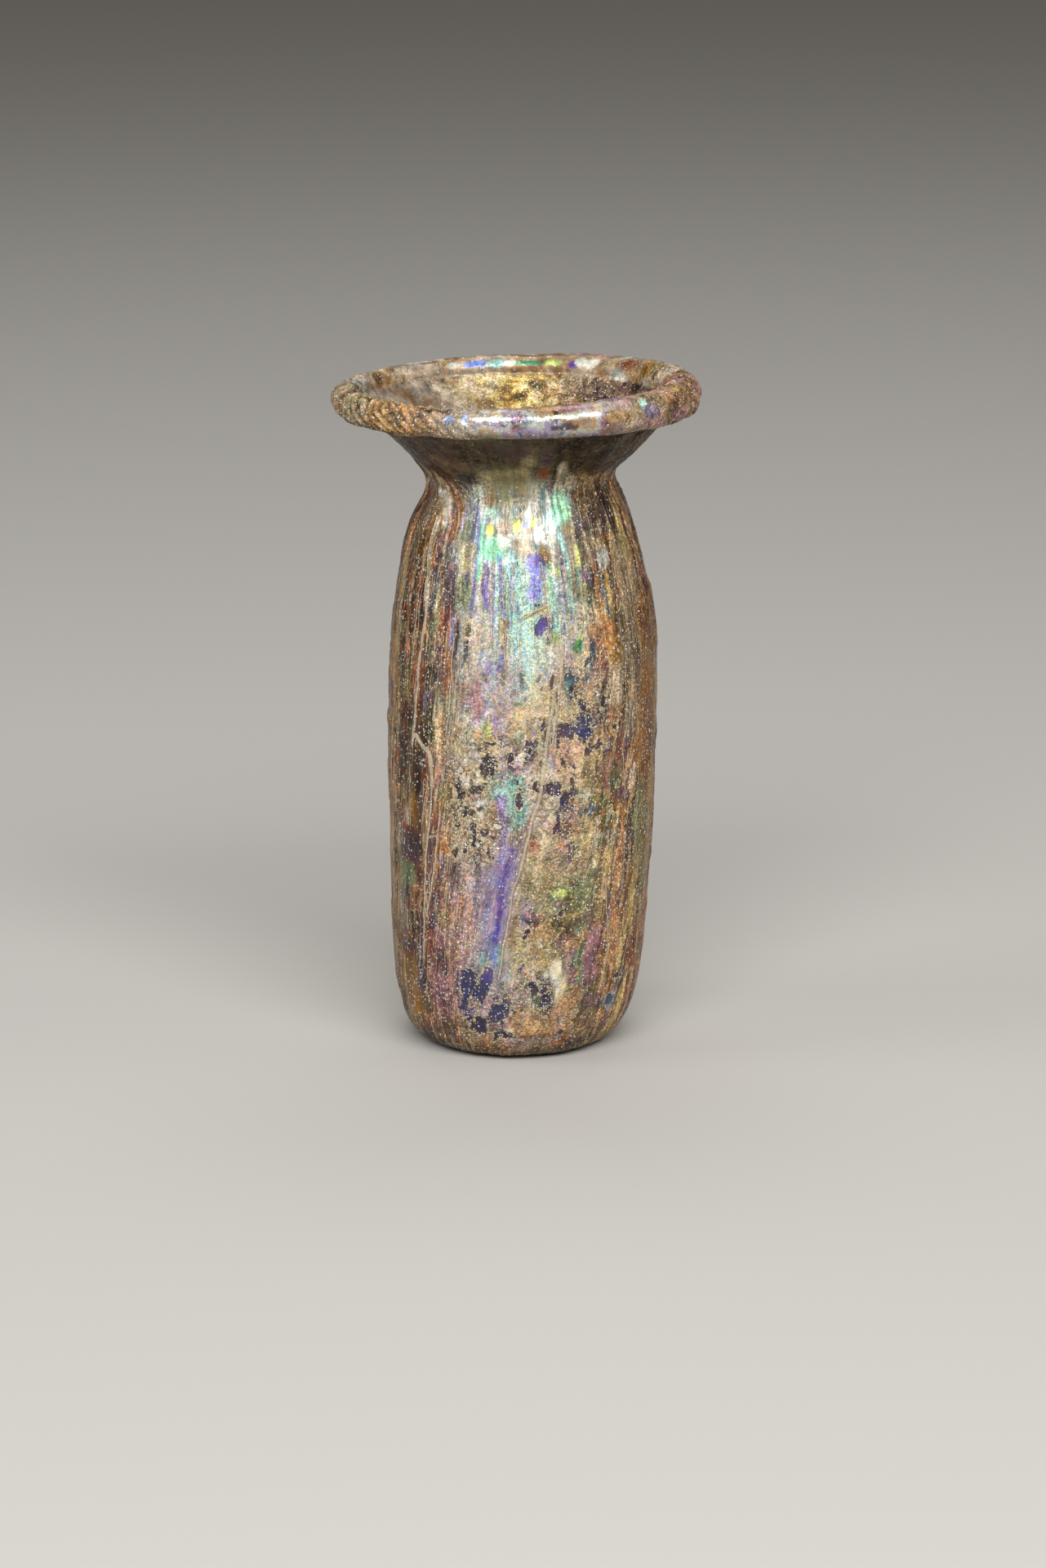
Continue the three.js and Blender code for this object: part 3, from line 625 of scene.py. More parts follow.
def wall_colours(skin, wall, flow):
    """The film's colour and the colour that shows where it has peeled, both with painted light and shade."""
    deg, z, p = skin.degrees, skin.z, skin.points
    band, fine = noise(flow, 3.2, 21), noise(flow, 1.3, 22)
    cloud, mottle = noise(p, 7.0, 23), noise(p, 2.2, 24)
    peeled, glaze = 0.5 * cloud + 0.6 * mottle, mottle + 0.7 * cloud
    middle = facing(deg, 2, 66) + 0.8 * facing(deg, 178, 88)
    upper = smooth(50, 66, z + 5 * cloud) * (facing(deg, -4, 46) + 0.7 * facing(deg, 160, 56))
    core = smooth(30, 44, z + 4 * cloud) * (facing(deg, -6, 46) + 0.7 * facing(deg, 186, 60))
    nacre = facing(deg, 200, 80) * smooth(0.1, 0.6, cloud) * 0.6
    funnel = smooth(81, 85, z) * 0.95
    glassy = ramp(mottle + 0.6 * band, "bare glass")
    high, high_under = ramp(0.8 * band + 0.4 * fine, "high"), ramp(0.8 * band + 0.5 * fine, "high under")
    zones = (
        (middle, ramp(0.5 * band + 0.8 * mottle + 0.6 * cloud, "low"), ramp(peeled, "low under")),
        (core, ramp(0.6 * band + 0.8 * mottle + 0.5 * cloud, "mid"), ramp(peeled, "mid under")),
        (np.maximum(upper, nacre), high, high_under),
        # the flare under the roll, painted near black: partly its dark crust, partly painted shade under the
        # roll
        (funnel, 0.88 * ramp(glaze, "funnel"), ramp(glaze, "funnel under")),
        (1 - smooth(1.0, 4.5, z), ramp(mottle, "heel"), "umber"),
        (0.9 * bare_glass(skin), glassy, glassy),
    )
    paint = ramp(0.5 * band + 0.5 * fine + 0.4 * cloud, "side")
    under = ramp(0.6 * band + 0.6 * mottle, "side under")
    for share, film, bared in zones:
        paint, under = blend(paint, film, share), blend(under, bared, share)

    # painted light: the body is painted lighter at the front, where the key light falls, from the foot up to
    # the shoulder
    front = 0.35 * facing(deg, 4, 48) + 0.15 * facing(deg, -30, 30)
    light = 1 + front * (1 - smooth(56, 68, z)) * smooth(0, 30, z)
    # painted light and shade, partly own tone, from the table of spots
    for amount, low, high, *spot in TONE_AND_PAINTED_LIGHT:
        light = light + amount * smooth(low, high, wall.spot(*spot))
    warm = 0.2 * facing(deg, 64, 46) + 0.25 * funnel + 0.2 * facing(deg, -62, 20) * (1 - smooth(8, 16, z))
    tone = np.stack([light, light, light * (1 - warm)], axis=1)
    paint, under = paint * tone, under * tone

    for name, soft, strength, *spot in PATCHES:
        share = smooth(-soft, soft, wall.spot(*spot, ragged=RAGGED)) * strength
        paint = blend(paint, name, share)
        under = blend(under, 0.7 * linear(name), 0.75 * share)
    for name, half_width, strength, *places in BANDS:
        share = smooth(half_width * 1.4 + 0.15, half_width * 0.6, np.abs(wall.stroke(places))) * strength
        paint = blend(paint, name, share)
        under = blend(under, 0.85 * linear(name), 0.85 * share)
    for name, *spot in PITS:
        ground = linear(name) + 0.16 * linear("dusk")
        under = blend(under, ground, smooth(-0.9, -0.4, wall.spot(*spot, ragged=RAGGED)))
    return paint, under


def rim_colours(skin, ropes):
    """The roll: brown and orange ropes at the left, lighter on their ridges and darker in their grooves,
    partly as painted highlight and shade; film in front; spots of colour, some of them painted highlights;
    painted shade on its underside.
    """
    deg, psi, p = skin.degrees, skin.psi, skin.points
    cloud, mottle = noise(p, 4.5, 31), noise(p, 1.5, 32)
    # the ridges are painted lighter and the grooves darker: partly the weathering's colours, partly painted
    # highlight and shade
    ridge = ropes + 0.25 * mottle
    left = blend(ramp(ridge, "rim left"), 1.5 * ramp(ridge, "rim orange"), facing(deg, -32, 22)**0.4)
    left = blend(left, ramp(ridge, "rim stone"), facing(deg, -98, 34) * 0.7)
    colour = blend(0.9 * ramp(cloud + 0.6 * mottle, "rim far"), 0.55 * left, facing(deg, -66, 56)**0.5)
    colour = blend(colour, ramp(cloud + 0.5 * mottle, "rim front"), facing(deg, 10, 38)**0.6)
    colour = blend(colour, ramp(cloud + 0.6 * mottle, "rim right"), facing(deg, 68, 46)**0.6)
    # painted shade: the underside of the roll is darkened towards umber
    colour = blend(colour, "umber", smooth(-20, -60, psi) * 0.6)
    for name, centre, tilt, width, height in RIM_SPOTS:
        inside = 1 - np.hypot(turned(deg, centre) / width, (psi - tilt) / height) + 0.3 * mottle
        colour = blend(colour, name, smooth(0.0, 0.3, inside) * 0.95)
    return colour


def inside_colours(skin):
    """The crust inside the funnel, yellow on the far wall, and the bore below it, painted dark as shade."""
    deg, p = skin.degrees, skin.points
    cloud, mottle = noise(p, 4.0, 41), noise(p, 1.3, 42)
    colour = 1.1 * ramp(cloud * 0.6 + mottle * 0.7, "dull crust")
    colour = blend(colour, ramp(cloud * 0.6 + mottle * 0.8, "crust"), facing(deg, 180, 40))
    colour = blend(colour, ramp(cloud * 0.6 + mottle * 0.7, "dark crust"), facing(deg, 126, 50)**0.6)
    patch = 1 - np.hypot((deg - 150) / 6, (skin.z - 88.5) / 1.3) + 0.5 * mottle
    colour = blend(colour, "tan", smooth(0, 0.4, patch) * 0.9)
    # painted shade: darker deeper down the bore
    return blend(colour, "umber", 1 - smooth(60, 86, skin.z))


# ---- relief and the fields that the material reads ----------------------------------------------
ROPE_SPACING = 1.9  # mm between the ridges on the roll
# How far each kind of relief stands out, in mm.
PIT_DEPTH, STEP_HEIGHT, DOME_HEIGHT, FOLD_HEIGHT, LINE_HEIGHT, ROPE_HEIGHT = 0.26, 0.3, 0.17, 0.22, 0.09, 0.52
STREAK, STREAK_FILM = (-9, 24, 2.4, 13, 13), (-9, 24, 2.2, 12, 13)  # the violet streak, smooth, full of film


def rope(skin):
    """The oblique ridges on the roll, from -1 in a groove to 1 on a ridge, strongest on its left."""
    p = skin.points
    around = np.radians(skin.degrees) * (ROLL_CENTRE_RADIUS + ROLL_RADIUS)
    slant = np.radians(skin.psi) * ROLL_RADIUS * (0.95 - 0.5 * facing(skin.degrees, -90, 30))
    wander = 1.8 * noise(p, 6.0, 51) + 0.5 * noise(p, 2.0, 52)
    phase = np.pi * (around + slant + wander) / ROPE_SPACING
    wave = 2 * np.abs(np.sin(phase))**0.6 - 1
    strength = np.maximum(facing(skin.degrees, -62, 54)**0.25, 0.6 * facing(skin.degrees, 84, 50))
    return wave * np.maximum(strength * (0.9 + 0.4 * noise(p, 3.0, 53)), 0.05)


def relief(skin, wall, flow, fields):
    """How far each vertex stands out from the plain form, in mm."""
    p, deg, z = skin.points, skin.degrees, skin.z
    out = 0.10 * noise(p, 11.0, 61) + 0.035 * noise(p, 1.5, 62)
    streaks = 0.07 * noise(flow, 1.9, 63) + 0.05 * noise(flow, 0.8, 64)
    pit = smooth(-0.10, 0.30, fields["pit"])
    crust = 0.16 * smooth(-0.2, 0.2, noise(p, 5.5, 65) + 0.3 * wall.fray[0]) * smooth(2, 8, z)
    left = facing(deg, -84, 26) * (1 - smooth(47.2, 48.2, z + 0.5 * wall.fray[0])) * smooth(34, 44, z)
    right = facing(deg, 84, 26) * (1 - smooth(66, 67.4, z + 0.6 * wall.fray[1])) * smooth(52, 62, z)
    domes, chance = grains(p, 0.8, 66)
    domes = np.maximum(0, 1 - (domes / 0.62)**2) * (chance > -0.2) * fields["grit"]
    folds = facing(deg, -50, 17) * smooth(72, 76, z) * (1 - smooth(83, 86, z))
    folds = folds * np.cos(2 * np.pi * flow_angle(deg, z) / 5.2 + 0.8 * noise(p, 5.0, 67))
    line = 1 - smooth(0.5, 2.5, np.abs(fields["line"]))
    on_wall = (streaks + crust - PIT_DEPTH * pit + STEP_HEIGHT * left + STEP_HEIGHT * right
               + DOME_HEIGHT * domes + FOLD_HEIGHT * folds + LINE_HEIGHT * line)
    out += np.where(skin.part == OUTSIDE, on_wall, 0)
    lumps = 0.10 * noise(p, 2.4, 68) * (1 + facing(deg, 75, 50))
    out += np.where(skin.part == ROLL, ROPE_HEIGHT * fields["rope"] + lumps, 0)
    rough = 0.10 * noise(p, 1.8, 69) + 0.10 * np.maximum(0, 1 - (grains(p, 1.1, 70)[0] / 0.7)**2)
    out += np.where((skin.part == INSIDE) & (z > NECK_HEIGHT), rough, 0)
    return out * np.where(skin.part == UNDERSIDE, 0.3, 1) * np.where(skin.radius > 0.1, 1, 0)


def hollows(skin, wall):
    """How far inside a flaked hollow each vertex lies, in mm. Small ones are scattered besides the table."""
    pit = np.full(len(skin.z), -FAR)
    for _, *spot in PITS:
        pit = np.maximum(pit, wall.spot(*spot, ragged=RAGGED))
    scatter = noise(skin.points, 1.6, 71) - 0.62
    zone = np.maximum.reduce([wall.spot(*spot) for spot in SCATTER])
    pit = np.maximum(pit, np.where(wall.outside, scatter - 0.9 * (1 - smooth(-2, 2, zone)), -FAR))
    return np.clip(pit, -1.5, 1.5)


def pale_lines(wall):
    """The signed distance to the nearest pale line in half widths, and how near it is, from 0 to 1."""
    line, near = np.full(len(wall.z), 60.0), np.zeros(len(wall.z))
    for half_width, *places in LINES:
        away = wall.stroke(places)
        line = np.where(np.abs(away / half_width) < np.abs(line), away / half_width, line)
        near = np.maximum(near, 1 - smooth(0.6, 1.0, np.abs(away)))
    return line, near


def make_fields(skin, wall):
    """Values from 0 to 1 over the skin that say how it is weathered at each place."""
    deg, z, p = skin.degrees, skin.z, skin.points
    on_wall, on_roll, inside = skin.part == OUTSIDE, skin.part == ROLL, skin.part == INSIDE
    funnel = smooth(81, 84, z)
    fields = {"pit": hollows(skin, wall), "rope": np.where(on_roll, rope(skin), 0)}
    fields["line"], fields["near"] = pale_lines(wall)
    fields["beads"] = wall.strongest(BEADS, np.zeros(len(z)), 0.8, 1.0)

    grit = wall.strongest(GRIT, np.full(len(z), 0.12), 0.6, 0.8)
    grit = np.where(on_roll, 0.2 + 0.6 * facing(deg, -60, 60), grit)
    grit = np.where(on_wall, grit - 0.5 * funnel, grit)
    fields["grit"] = np.where(inside, 0.5 * facing(deg, 180, 60) - 0.3 * facing(deg, -130, 60), grit)

    film = 0.25 + 0.6 * facing(deg, -2, 50) * smooth(44, 62, z)
    film = film + 0.3 * facing(deg, -2, 50) + 0.4 * facing(deg, 178, 90)
    film = np.maximum(film, smooth(-1, 1, wall.spot(*STREAK_FILM)))
    film = np.where(on_roll, 0.3 + 0.6 * facing(deg, 8, 45), film)
    film = np.where(inside, 0.1, film)
    film = film * (1 - 0.65 * smooth(-1, 1, wall.spot(0, 76.5, 10, 4.6)))
    fields["film"] = film * (1 - 0.7 * funnel * on_wall)

    round_side = facing(deg, 8, 60) + 0.7 * facing(deg, 196, 70)
    pebbly = round_side * (1 - smooth(54, 68, z + 3 * noise(p, 6.0, 72)))
    pebbly = np.maximum(pebbly - smooth(-1, 1, wall.spot(*STREAK)), funnel)
    streaky = np.where(on_wall, 1 - 0.8 * np.clip(pebbly, 0, 1), 0.1)
    calm = 0.75 * facing(deg, 12, 40) + 0.95 * facing(deg, 180, 76)**0.4 + 0.5 * facing(deg, -72, 50)**0.5
    calm = np.where(on_roll, calm, 0)
    calm = np.where(inside, 0.7 * facing(deg, -130, 60), calm)
    calm = wall.strongest(CALM, calm, 0.6, 0.8)
    amber = np.maximum(bare_glass(skin), smooth(-0.5, 0.5, wall.spot(-57, 9.5, 2.6, 4.4)))
    calm = np.where(on_wall, np.maximum(calm, 0.9 * amber), calm)
    fields["calm"], fields["streaky"] = calm, streaky * (1 - 0.55 * calm)

    shine = 0.6 * facing(deg, -5, 16) + 0.9 * facing(deg, 19, 14) + 0.4 * facing(deg, 175, 40)
    gloss = np.where(on_roll, 0.15 + shine * (1 + 0.3 * noise(p, 1.6, 54)), 0.22 + 0.1 * amber)
    fields["gloss"] = np.clip(gloss - 0.25 * funnel * on_wall, 0, 1)
    cover = 0.5 - 0.35 * facing(deg, -50, 24) + 0.3 * facing(deg, -6, 40) + 0.25 * facing(deg, 178, 100)
    fields["cover"] = np.where(on_wall, cover + 0.2 * calm, 0.8 + 0.2 * calm)
    return fields


# ---- the mesh -----------------------------------------------------------------------------------
INSIDE_SHARE = 0.35  # of its true length that the inside of the body gets on the map
MARGIN = 0.005  # of the map, left free along its edges


def lay_map(mesh, skin):
    """The unrolled wall as a map: round the flask across, along the profile upwards."""
    step = np.diff(skin.run, prepend=0.0)
    run = np.cumsum(step * np.where((skin.part == INSIDE) & (skin.z < NECK_HEIGHT), INSIDE_SHARE, 1.0))
    corner = np.zeros(len(mesh.loops), int)
    mesh.loops.foreach_get("vertex_index", corner)
    totals = np.zeros(len(mesh.polygons), int)
    mesh.polygons.foreach_get("loop_total", totals)
    face = np.repeat(np.arange(len(totals)), totals)
    phi = skin.turn[corner]
    high = np.zeros(len(totals))
    np.maximum.at(high, face, phi)
    phi = np.where((high[face] > 0.75) & (phi < 0.25), phi + 1, phi)
    across, up = (MARGIN + (1 - 2 * MARGIN) * share for share in (phi, run[corner] / run.max()))
    mesh.uv_layers.new(name="OFBake").data.foreach_set("uv", np.c_[across, up].astype(np.float32).ravel())


def store(mesh, name, kind, key, values):
    """Keeps a value for each vertex, which the material reads by its name."""
    mesh.attributes.new(name, kind, "POINT").data.foreach_set(key, np.asarray(values, np.float32).ravel())


def build_flask():
    skin = Skin()
    wall = Wall(skin)
    s = np.radians(flow_angle(skin.degrees, skin.z))
    flow = np.c_[BODY_RADIUS * np.sin(s), -BODY_RADIUS * np.cos(s), skin.z * 0.06]
    flow = np.where((skin.part == OUTSIDE)[:, None], flow, skin.points)
    low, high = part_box("flask")
    metre = (high.z - low.z) / (skin.points[:, 2].max() - skin.points[:, 2].min())
    mesh = bpy.data.meshes.new("flask_skin")
    mesh.from_pydata((skin.points * metre).tolist(), [], skin.faces)
    mesh.validate()
    normals = np.zeros(len(skin.z) * 3)
    mesh.vertex_normals.foreach_get("vector", normals)
    fields = make_fields(skin, wall)
    points = skin.points + normals.reshape(-1, 3) * relief(skin, wall, flow, fields)[:, None]
    points[:, 2] = np.maximum(points[:, 2], 0)
    mesh.vertices.foreach_set("co", (points * metre).astype(np.float32).ravel())
    outer, inner = wall_colours(skin, wall, flow)
    for part, colours in ((ROLL, rim_colours(skin, fields["rope"])), (INSIDE, inside_colours(skin))):
        here = (skin.part == part)[:, None]
        outer, inner = np.where(here, colours, outer), np.where(here, 0.55 * colours, inner)
    for name, colours in (("paint", outer), ("under", inner)):
        store(mesh, name, "FLOAT_COLOR", "color", np.c_[colours, np.ones(len(colours))])
    store(mesh, "flow", "FLOAT_VECTOR", "vector", flow)
    for name in ("pit", "line", "grit", "film", "streaky", "calm", "cover", "gloss", "near", "beads"):
        store(mesh, name, "FLOAT", "value", fields[name])
    lay_map(mesh, skin)
    mesh.polygons.foreach_set("use_smooth", [True] * len(mesh.polygons))
    mesh.update()
    piece = bpy.data.objects.new("flask_skin", mesh)
    bpy.context.scene.collection.objects.link(piece)
    return piece


# ---- the material -------------------------------------------------------------------------------
def operator(operation, swapped=False):
    """A method that joins its object to another value by a math node, in this order or swapped."""
    def act(self, other):
        values = (other, self) if swapped else (self, other)
        return self.graph.math(operation, *values)
    return act


class Out:
    """A node's output, which +, - and * join to numbers and other outputs."""

    def __init__(self, graph, socket):
        self.graph, self.socket = graph, socket

    __add__, __radd__ = operator("ADD"), operator("ADD", swapped=True)
    __sub__, __rsub__ = operator("SUBTRACT"), operator("SUBTRACT", swapped=True)
    __mul__, __rmul__ = operator("MULTIPLY"), operator("MULTIPLY", swapped=True)


class Graph:
    """Short calls for building a node tree. Values may be numbers, colours or another node's output."""

    def __init__(self, material):
        material.use_nodes = True
        self.tree = material.node_tree
        self.tree.nodes.clear()

    def node(self, kind, inputs=(), **settings):
        node = self.tree.nodes.new(kind)
        for name, value in settings.items():
            setattr(node, name, value)
        for key, value in dict(inputs).items():
            if isinstance(value, Out):
                self.tree.links.new(value.socket, node.inputs[key])
            else:
                node.inputs[key].default_value = value
        return node

    def out(self, kind, output, inputs=(), **settings):
        return Out(self, self.node(kind, inputs, **settings).outputs[output])

    def math(self, operation, *values, clamp=False):
        return self.out("ShaderNodeMath", 0, enumerate(values), operation=operation, use_clamp=clamp)

    def vector(self, operation, *values, **inputs):
        """As math, for places and colours."""
        return self.out("ShaderNodeVectorMath", 0, {**dict(enumerate(values)), **inputs}, operation=operation)

    def mask(self, value, low, high):
        """0 below low, 1 above high, smooth between."""
        inputs = {"Value": value, "From Min": low, "From Max": high}
        return self.out("ShaderNodeMapRange", "Result", inputs, interpolation_type="SMOOTHSTEP")

    def span(self, value, low, high, to_low, to_high):
        """From to_low at low to to_high at high, in a straight line and level beyond."""
        inputs = {"Value": value, "From Min": low, "From Max": high, "To Min": to_low, "To Max": to_high}
        return self.out("ShaderNodeMapRange", "Result", inputs)

    def between(self, share, a, b):
        """A number that is a where the share is 0 and b where it is 1."""
        return self.out("ShaderNodeMix", 0, {0: share, 2: a, 3: b})

    def mix(self, share, a, b, blend_type="MIX"):
        """The same for colours, which may be names."""
        a, b = (value if isinstance(value, Out) else (*linear(value), 1) for value in (a, b))
        return self.out("ShaderNodeMix", 2, {0: share, 6: a, 7: b}, data_type="RGBA", blend_type=blend_type)

    def noise(self, vector, per_mm, detail, rough, output="Fac"):
        inputs = {"Vector": vector, "Scale": per_mm, "Detail": detail, "Roughness": rough}
        return self.out("ShaderNodeTexNoise", output, inputs)

    def cells(self, vector, per_mm):
        """Scattered cells: the distance from a cell's centre, its random colour and the colour's numbers."""
        node = self.node("ShaderNodeTexVoronoi", {"Vector": vector, "Scale": per_mm, "Randomness": 1.0})
        colour = Out(self, node.outputs["Color"])
        parts = self.node("ShaderNodeSeparateColor", {"Color": colour}).outputs
        return Out(self, node.outputs["Distance"]), colour, [Out(self, part) for part in parts]

    def ramp(self, value, name):
        node = self.node("ShaderNodeValToRGB", {"Fac": value})
        places, colours = stops(name)
        ramp_points = node.color_ramp.elements
        while len(ramp_points) < len(places):
            ramp_points.new(0.5)
        for point, place, colour in zip(ramp_points, places, colours):
            point.position, point.color = place, (*colour, 1)
        return Out(self, node.outputs["Color"])

    def attribute(self, name, output="Fac"):
        return self.out("ShaderNodeAttribute", output, attribute_name=name)


# The noise levels between which the film and the outer crust start, step out, and the painted highlights
# along their edges rise and fall.
FILM_EDGE, FILM_STEP, CRUST_EDGE, CRUST_STEP = (0.48, 0.492), (0.475, 0.5), (0.56, 0.572), (0.555, 0.58)
FILM_LIP, FILM_LIP_END = (0.486, 0.494), (0.497, 0.507)
CRUST_LIP, CRUST_LIP_END = (0.566, 0.572), (0.574, 0.584)
BEADS_PER_MM = 1.05
# Grains of grit painted bright as glints of light:
GLINT_GRAINS = ((1.7, 0.34, 0.94, 0.85), (3.1, 0.46, 0.87, 0.9))  # cells per mm, a grain's size, how few, strength


def weathered_glass():
    material = bpy.data.materials.new("weathered_glass")
    g = Graph(material)
    mm = g.vector("MULTIPLY", g.out("ShaderNodeTexCoord", "Object"), (1000, 1000, 1000))
    flow = g.attribute("flow", "Vector")
    paint, under = g.attribute("paint", "Color"), g.attribute("under", "Color")
    film, grit, streaky, calm, cover, gloss, broken, near = (
        g.attribute(name) for name in ("film", "grit", "streaky", "calm", "cover", "gloss", "beads", "near"))

    # streaks that follow the glass, clouds and flecks
    shorter = g.vector("MULTIPLY", flow, (1, 1, 2.5))
    streak = g.noise(flow, 0.5, 3, 0.6)
    hair = g.noise(shorter, 1.8, 3, 0.65)
    cloud = g.noise(mm, 0.45, 3, 0.6)
    fleck = g.noise(mm, 1.5, 3, 0.7)
    lively = g.math("SUBTRACT", 1.0, calm, clamp=True)

    # the film peels in layers with crisp edges and a painted highlight along them: what lies under it, the
    # film, and a thin outer crust
    level = g.between(streaky, g.noise(mm, 0.34, 6, 0.66), g.noise(shorter, 0.55, 5, 0.62))
    level = level + g.span(cover, 0, 1, -0.12, 0.12)
    lip = g.mask(level, *FILM_LIP) - g.mask(level, *FILM_LIP_END)
    crust_lip = g.mask(level, *CRUST_LIP) - g.mask(level, *CRUST_LIP_END)
    colour = g.mix(g.mask(level, *FILM_EDGE), under, paint)
    colour = g.mix(g.mask(level, *CRUST_EDGE) * 0.5 * lively, colour, g.mix(0.35, paint, "tan", "SCREEN"))
    # painted highlight: cream along the edges of the film and the crust
    lip_highlight = (lip + crust_lip) * g.span(fleck, 0.4, 0.6, 0.0, 0.7)
    colour = g.mix(lip_highlight * lively, colour, "cream")
    shimmer = g.between(streaky, fleck, g.noise(shorter, 2.6, 3, 0.6))
    colour = g.mix(film * 0.55, colour, g.ramp(shimmer, "iridescence"), "SOFT_LIGHT")

    # crystals: each has its own lightness and a little of its own hue
    _, crystal_colour, (grain, *_) = g.cells(mm, 4.6)
    exposure = (hair - 0.5) * (streaky * 2.0)
    for source, gain in ((streak, 1.4), (cloud, 1.0), (fleck, lively * 1.4), (grain, lively * 0.7)):
        exposure = exposure + (source - 0.5) * gain
    exposure = g.math("MULTIPLY_ADD", exposure, g.span(film, 0.25, 0.9, 2.3, 1.1), 0.22)
    colour = g.vector("SCALE", colour, Scale=g.math("POWER", 2.0, exposure))
    hue = g.vector("MULTIPLY_ADD", crystal_colour, (0.7, 0.7, 0.7), (0.65, 0.65, 0.65))
    colour = g.mix(lively * g.span(film, 0, 1, 0.2, 0.5), colour, hue, "MULTIPLY")
    threads = g.noise(flow, 4.0, 2, 0.5)
    drawn = g.mask(streaky, 0.3, 0.9) * (lively * 0.55)
    colour = g.mix(g.mask(threads, 0.59, 0.66) * drawn, colour, "cream")
    colour = g.mix(g.mask(threads, 0.42, 0.34) * drawn, colour, g.mix(0.4, under, "umber"))

    # pearly beads with dark gaps, where the film has broken up
    lumpy = g.vector("ADD", mm, g.vector("SCALE", g.noise(mm, 1.0, 2, 0.5, "Color"), Scale=0.9))
    _, _, (is_hole, has_gap, shade) = g.cells(lumpy, BEADS_PER_MM)
    inputs = {"Vector": lumpy, "Scale": BEADS_PER_MM, "Randomness": 1.0}
    to_edge = g.out("ShaderNodeTexVoronoi", "Distance", inputs, feature="DISTANCE_TO_EDGE")
    bead_top = g.mask(to_edge, 0.06, 0.24)
    bead_gap = (1 - bead_top) * g.mask(has_gap, 0.3, 0.5)
    bead_hole = bead_top * g.math("LESS_THAN", is_hole, 0.24)
    bead_rim_highlight = g.mask(to_edge, 0.05, 0.12) - g.mask(to_edge, 0.14, 0.26)
    colour = g.mix(broken * bead_top * 0.6, colour, g.ramp(shade, "bead"))
    dark = g.math("MAXIMUM", bead_gap * 0.7, bead_hole) * g.mask(broken, 0.1, 0.7)
    colour = g.mix(dark * 0.85, colour, g.mix(0.5, under, "umber"))
    # a cream rim round each bead, partly painted highlight
    colour = g.mix(bead_rim_highlight * broken * g.mask(grain, 0.35, 0.65), colour, "cream")

    # flaked hollows, with a broken edge painted cream: partly a paler layer, partly painted highlight on the
    # lip
    depth = g.attribute("pit") + (g.noise(mm, 1.7, 3, 0.65) - 0.5) * 1.1
    pit = g.mask(depth, 0.0, 0.12)
    edge = g.mask(depth, -0.30, -0.08) * (1 - pit)
    colour = g.mix(edge * g.span(grain, 0.4, 0.6, 0.1, 0.8), colour, "cream")
    colour = g.mix(pit * 0.92, colour, g.mix(0.12, under, g.ramp(fleck, "hollow")))

    # thin pale lines, each with painted shade as a soft brown edge beside it
    distance = g.math("ABSOLUTE", g.attribute("line")) + (fleck - 0.5) * 1.0
    line = (1 - g.mask(distance, 0.7, 1.3)) * near
    line_shade = (g.mask(distance, 1.0, 1.5) - g.mask(distance, 1.9, 2.8)) * near * 0.4
    colour = g.mix(line_shade, colour, "brown")
    colour = g.mix(line * g.span(grain, 0, 1, 0.55, 0.98), colour, "chalk")

    # grains of gold, cream and ice, in two sizes, painted bright as glints of light on the grit
    grit_glint = []
    for per_mm, size, few, strength in GLINT_GRAINS:
        distance, _, (chance, kind, _) = g.cells(mm, per_mm)
        more = grit * 0.35 + pit * broken * 0.3 - calm * 0.05
        grit_glint.append(g.math("GREATER_THAN", chance + more, few) * g.mask(distance, size, size * 0.5))
        colour = g.mix(grit_glint[-1] * strength, colour, g.ramp(kind, "painted glint"))
    grit_glint = g.math("MAXIMUM", *grit_glint)

    # relief finer than the mesh's, in mm
    height = fleck * 0.03 + grain * 0.010 + grit_glint * 0.05 + hair * (streaky * 0.10)
    height = height * lively + streak * 0.10
    height = height + g.mask(level, *FILM_STEP) * 0.07 + g.mask(level, *CRUST_STEP) * 0.06
    height = height + pit * -0.16 + edge * 0.05 + line * 0.06
    height = height + broken * bead_top * 0.10 + broken * bead_hole * -0.16
    bump = g.out("ShaderNodeBump", "Normal", {"Strength": 1.0, "Distance": 0.001, "Height": height})

    rough = g.span(film, 0, 1, 0.46, 0.30) + g.span(grain, 0.3, 0.7, -0.10, 0.14) - calm * 0.08
    shader = g.out("ShaderNodeBsdfPrincipled", 0, {
        "Base Color": colour, "Normal": bump,
        "Roughness": g.math("SUBTRACT", rough, grit_glint * 0.12, clamp=True),
        "Metallic": g.math("ADD", g.span(film, 0, 1, 0.12, 0.42), grit_glint * 0.1, clamp=True),
        "IOR": 1.5, "Specular IOR Level": g.span(gloss, 0, 1, 0.08, 0.5),
        "Coat Weight": g.span(gloss, 0, 1, 0.0, 0.6), "Coat Roughness": 0.2, "Coat IOR": 1.45})
    g.node("ShaderNodeOutputMaterial", {"Surface": shader})
    return material


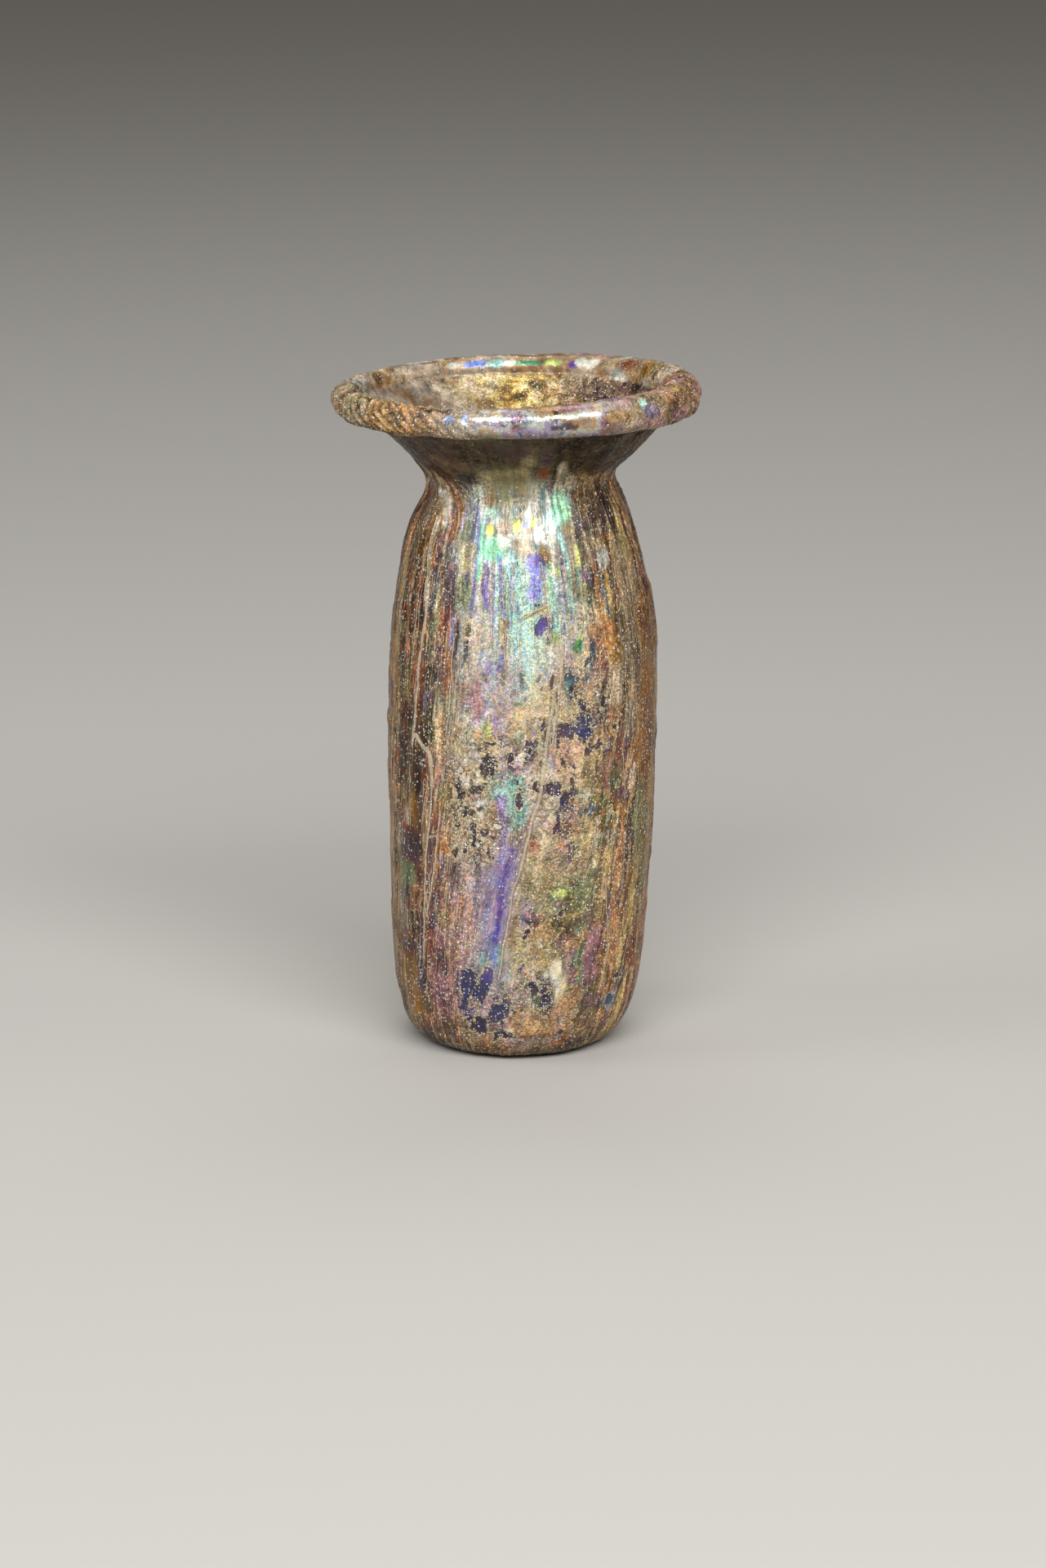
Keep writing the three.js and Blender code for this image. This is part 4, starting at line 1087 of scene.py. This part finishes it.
# ---- the stage ----------------------------------------------------------------------------------
FLOOR_SIZE, FLOOR_DEPTH = 3.0, 0.00005  # metres from the middle to each edge, and below the flask
FLOOR_COLOUR, FLOOR_ROUGHNESS = (0.80, 0.79, 0.77), 0.8
AIR_COLOUR, AIR_STRENGTH = (0.87, 0.83, 0.78, 1), 0.16  # the light from all round
AIM = (0, 0, 0.05)  # what the softboxes point at, in metres


def make_floor():
    mesh = bpy.data.meshes.new("floor")
    signs = ((-1, -1), (1, -1), (1, 1), (-1, 1))
    mesh.from_pydata([(x * FLOOR_SIZE, y * FLOOR_SIZE, -FLOOR_DEPTH) for x, y in signs], [], [(0, 1, 2, 3)])
    floor = bpy.data.objects.new("floor", mesh)
    material = bpy.data.materials.new("floor")
    g = Graph(material)
    matte = {"Base Color": (*linear(FLOOR_COLOUR), 1), "Roughness": FLOOR_ROUGHNESS}
    g.node("ShaderNodeOutputMaterial", {"Surface": g.out("ShaderNodeBsdfPrincipled", 0, matte)})
    mesh.materials.append(material)
    bpy.context.scene.collection.objects.link(floor)


def softbox(name, round_degrees, up_degrees, distance, size, watts, colour=(1, 1, 1)):
    """An area light that points at AIM. round_degrees is 0 at the front, positive to +X."""
    data = bpy.data.lights.new(name, "AREA")
    data.shape = "RECTANGLE"
    data.size, data.size_y = size
    data.energy, data.color = watts, colour
    light = bpy.data.objects.new(name, data)
    around, up = math.radians(round_degrees), math.radians(up_degrees)
    direction = np.array([math.sin(around) * math.cos(up), -math.cos(around) * math.cos(up), math.sin(up)])
    light.location = direction * distance + np.array(AIM)
    light.rotation_euler = (math.radians(90 - up_degrees), 0, around)
    bpy.context.scene.collection.objects.link(light)


def make_light():
    softbox("key", 8, 42, 0.9, (1.1, 0.36), 9)
    softbox("left", -78, 26, 0.9, (0.3, 0.6), 1.3)
    softbox("right", 85, 30, 0.9, (0.3, 0.6), 0.35, (1, 0.9, 0.76))
    softbox("top", 180, 65, 1.1, (0.8, 0.5), 2.5)
    world = bpy.data.worlds.new("studio")
    world.use_nodes = True
    background = world.node_tree.nodes["Background"].inputs
    background["Color"].default_value = AIR_COLOUR
    background["Strength"].default_value = AIR_STRENGTH
    bpy.context.scene.world = world
    bpy.context.scene.view_settings.view_transform = "Standard"


flask = build_flask()
flask.data.materials.append(weathered_glass())
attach(flask, "root")
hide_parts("flask")
make_floor()
make_light()

bpy.context.view_layer.update()
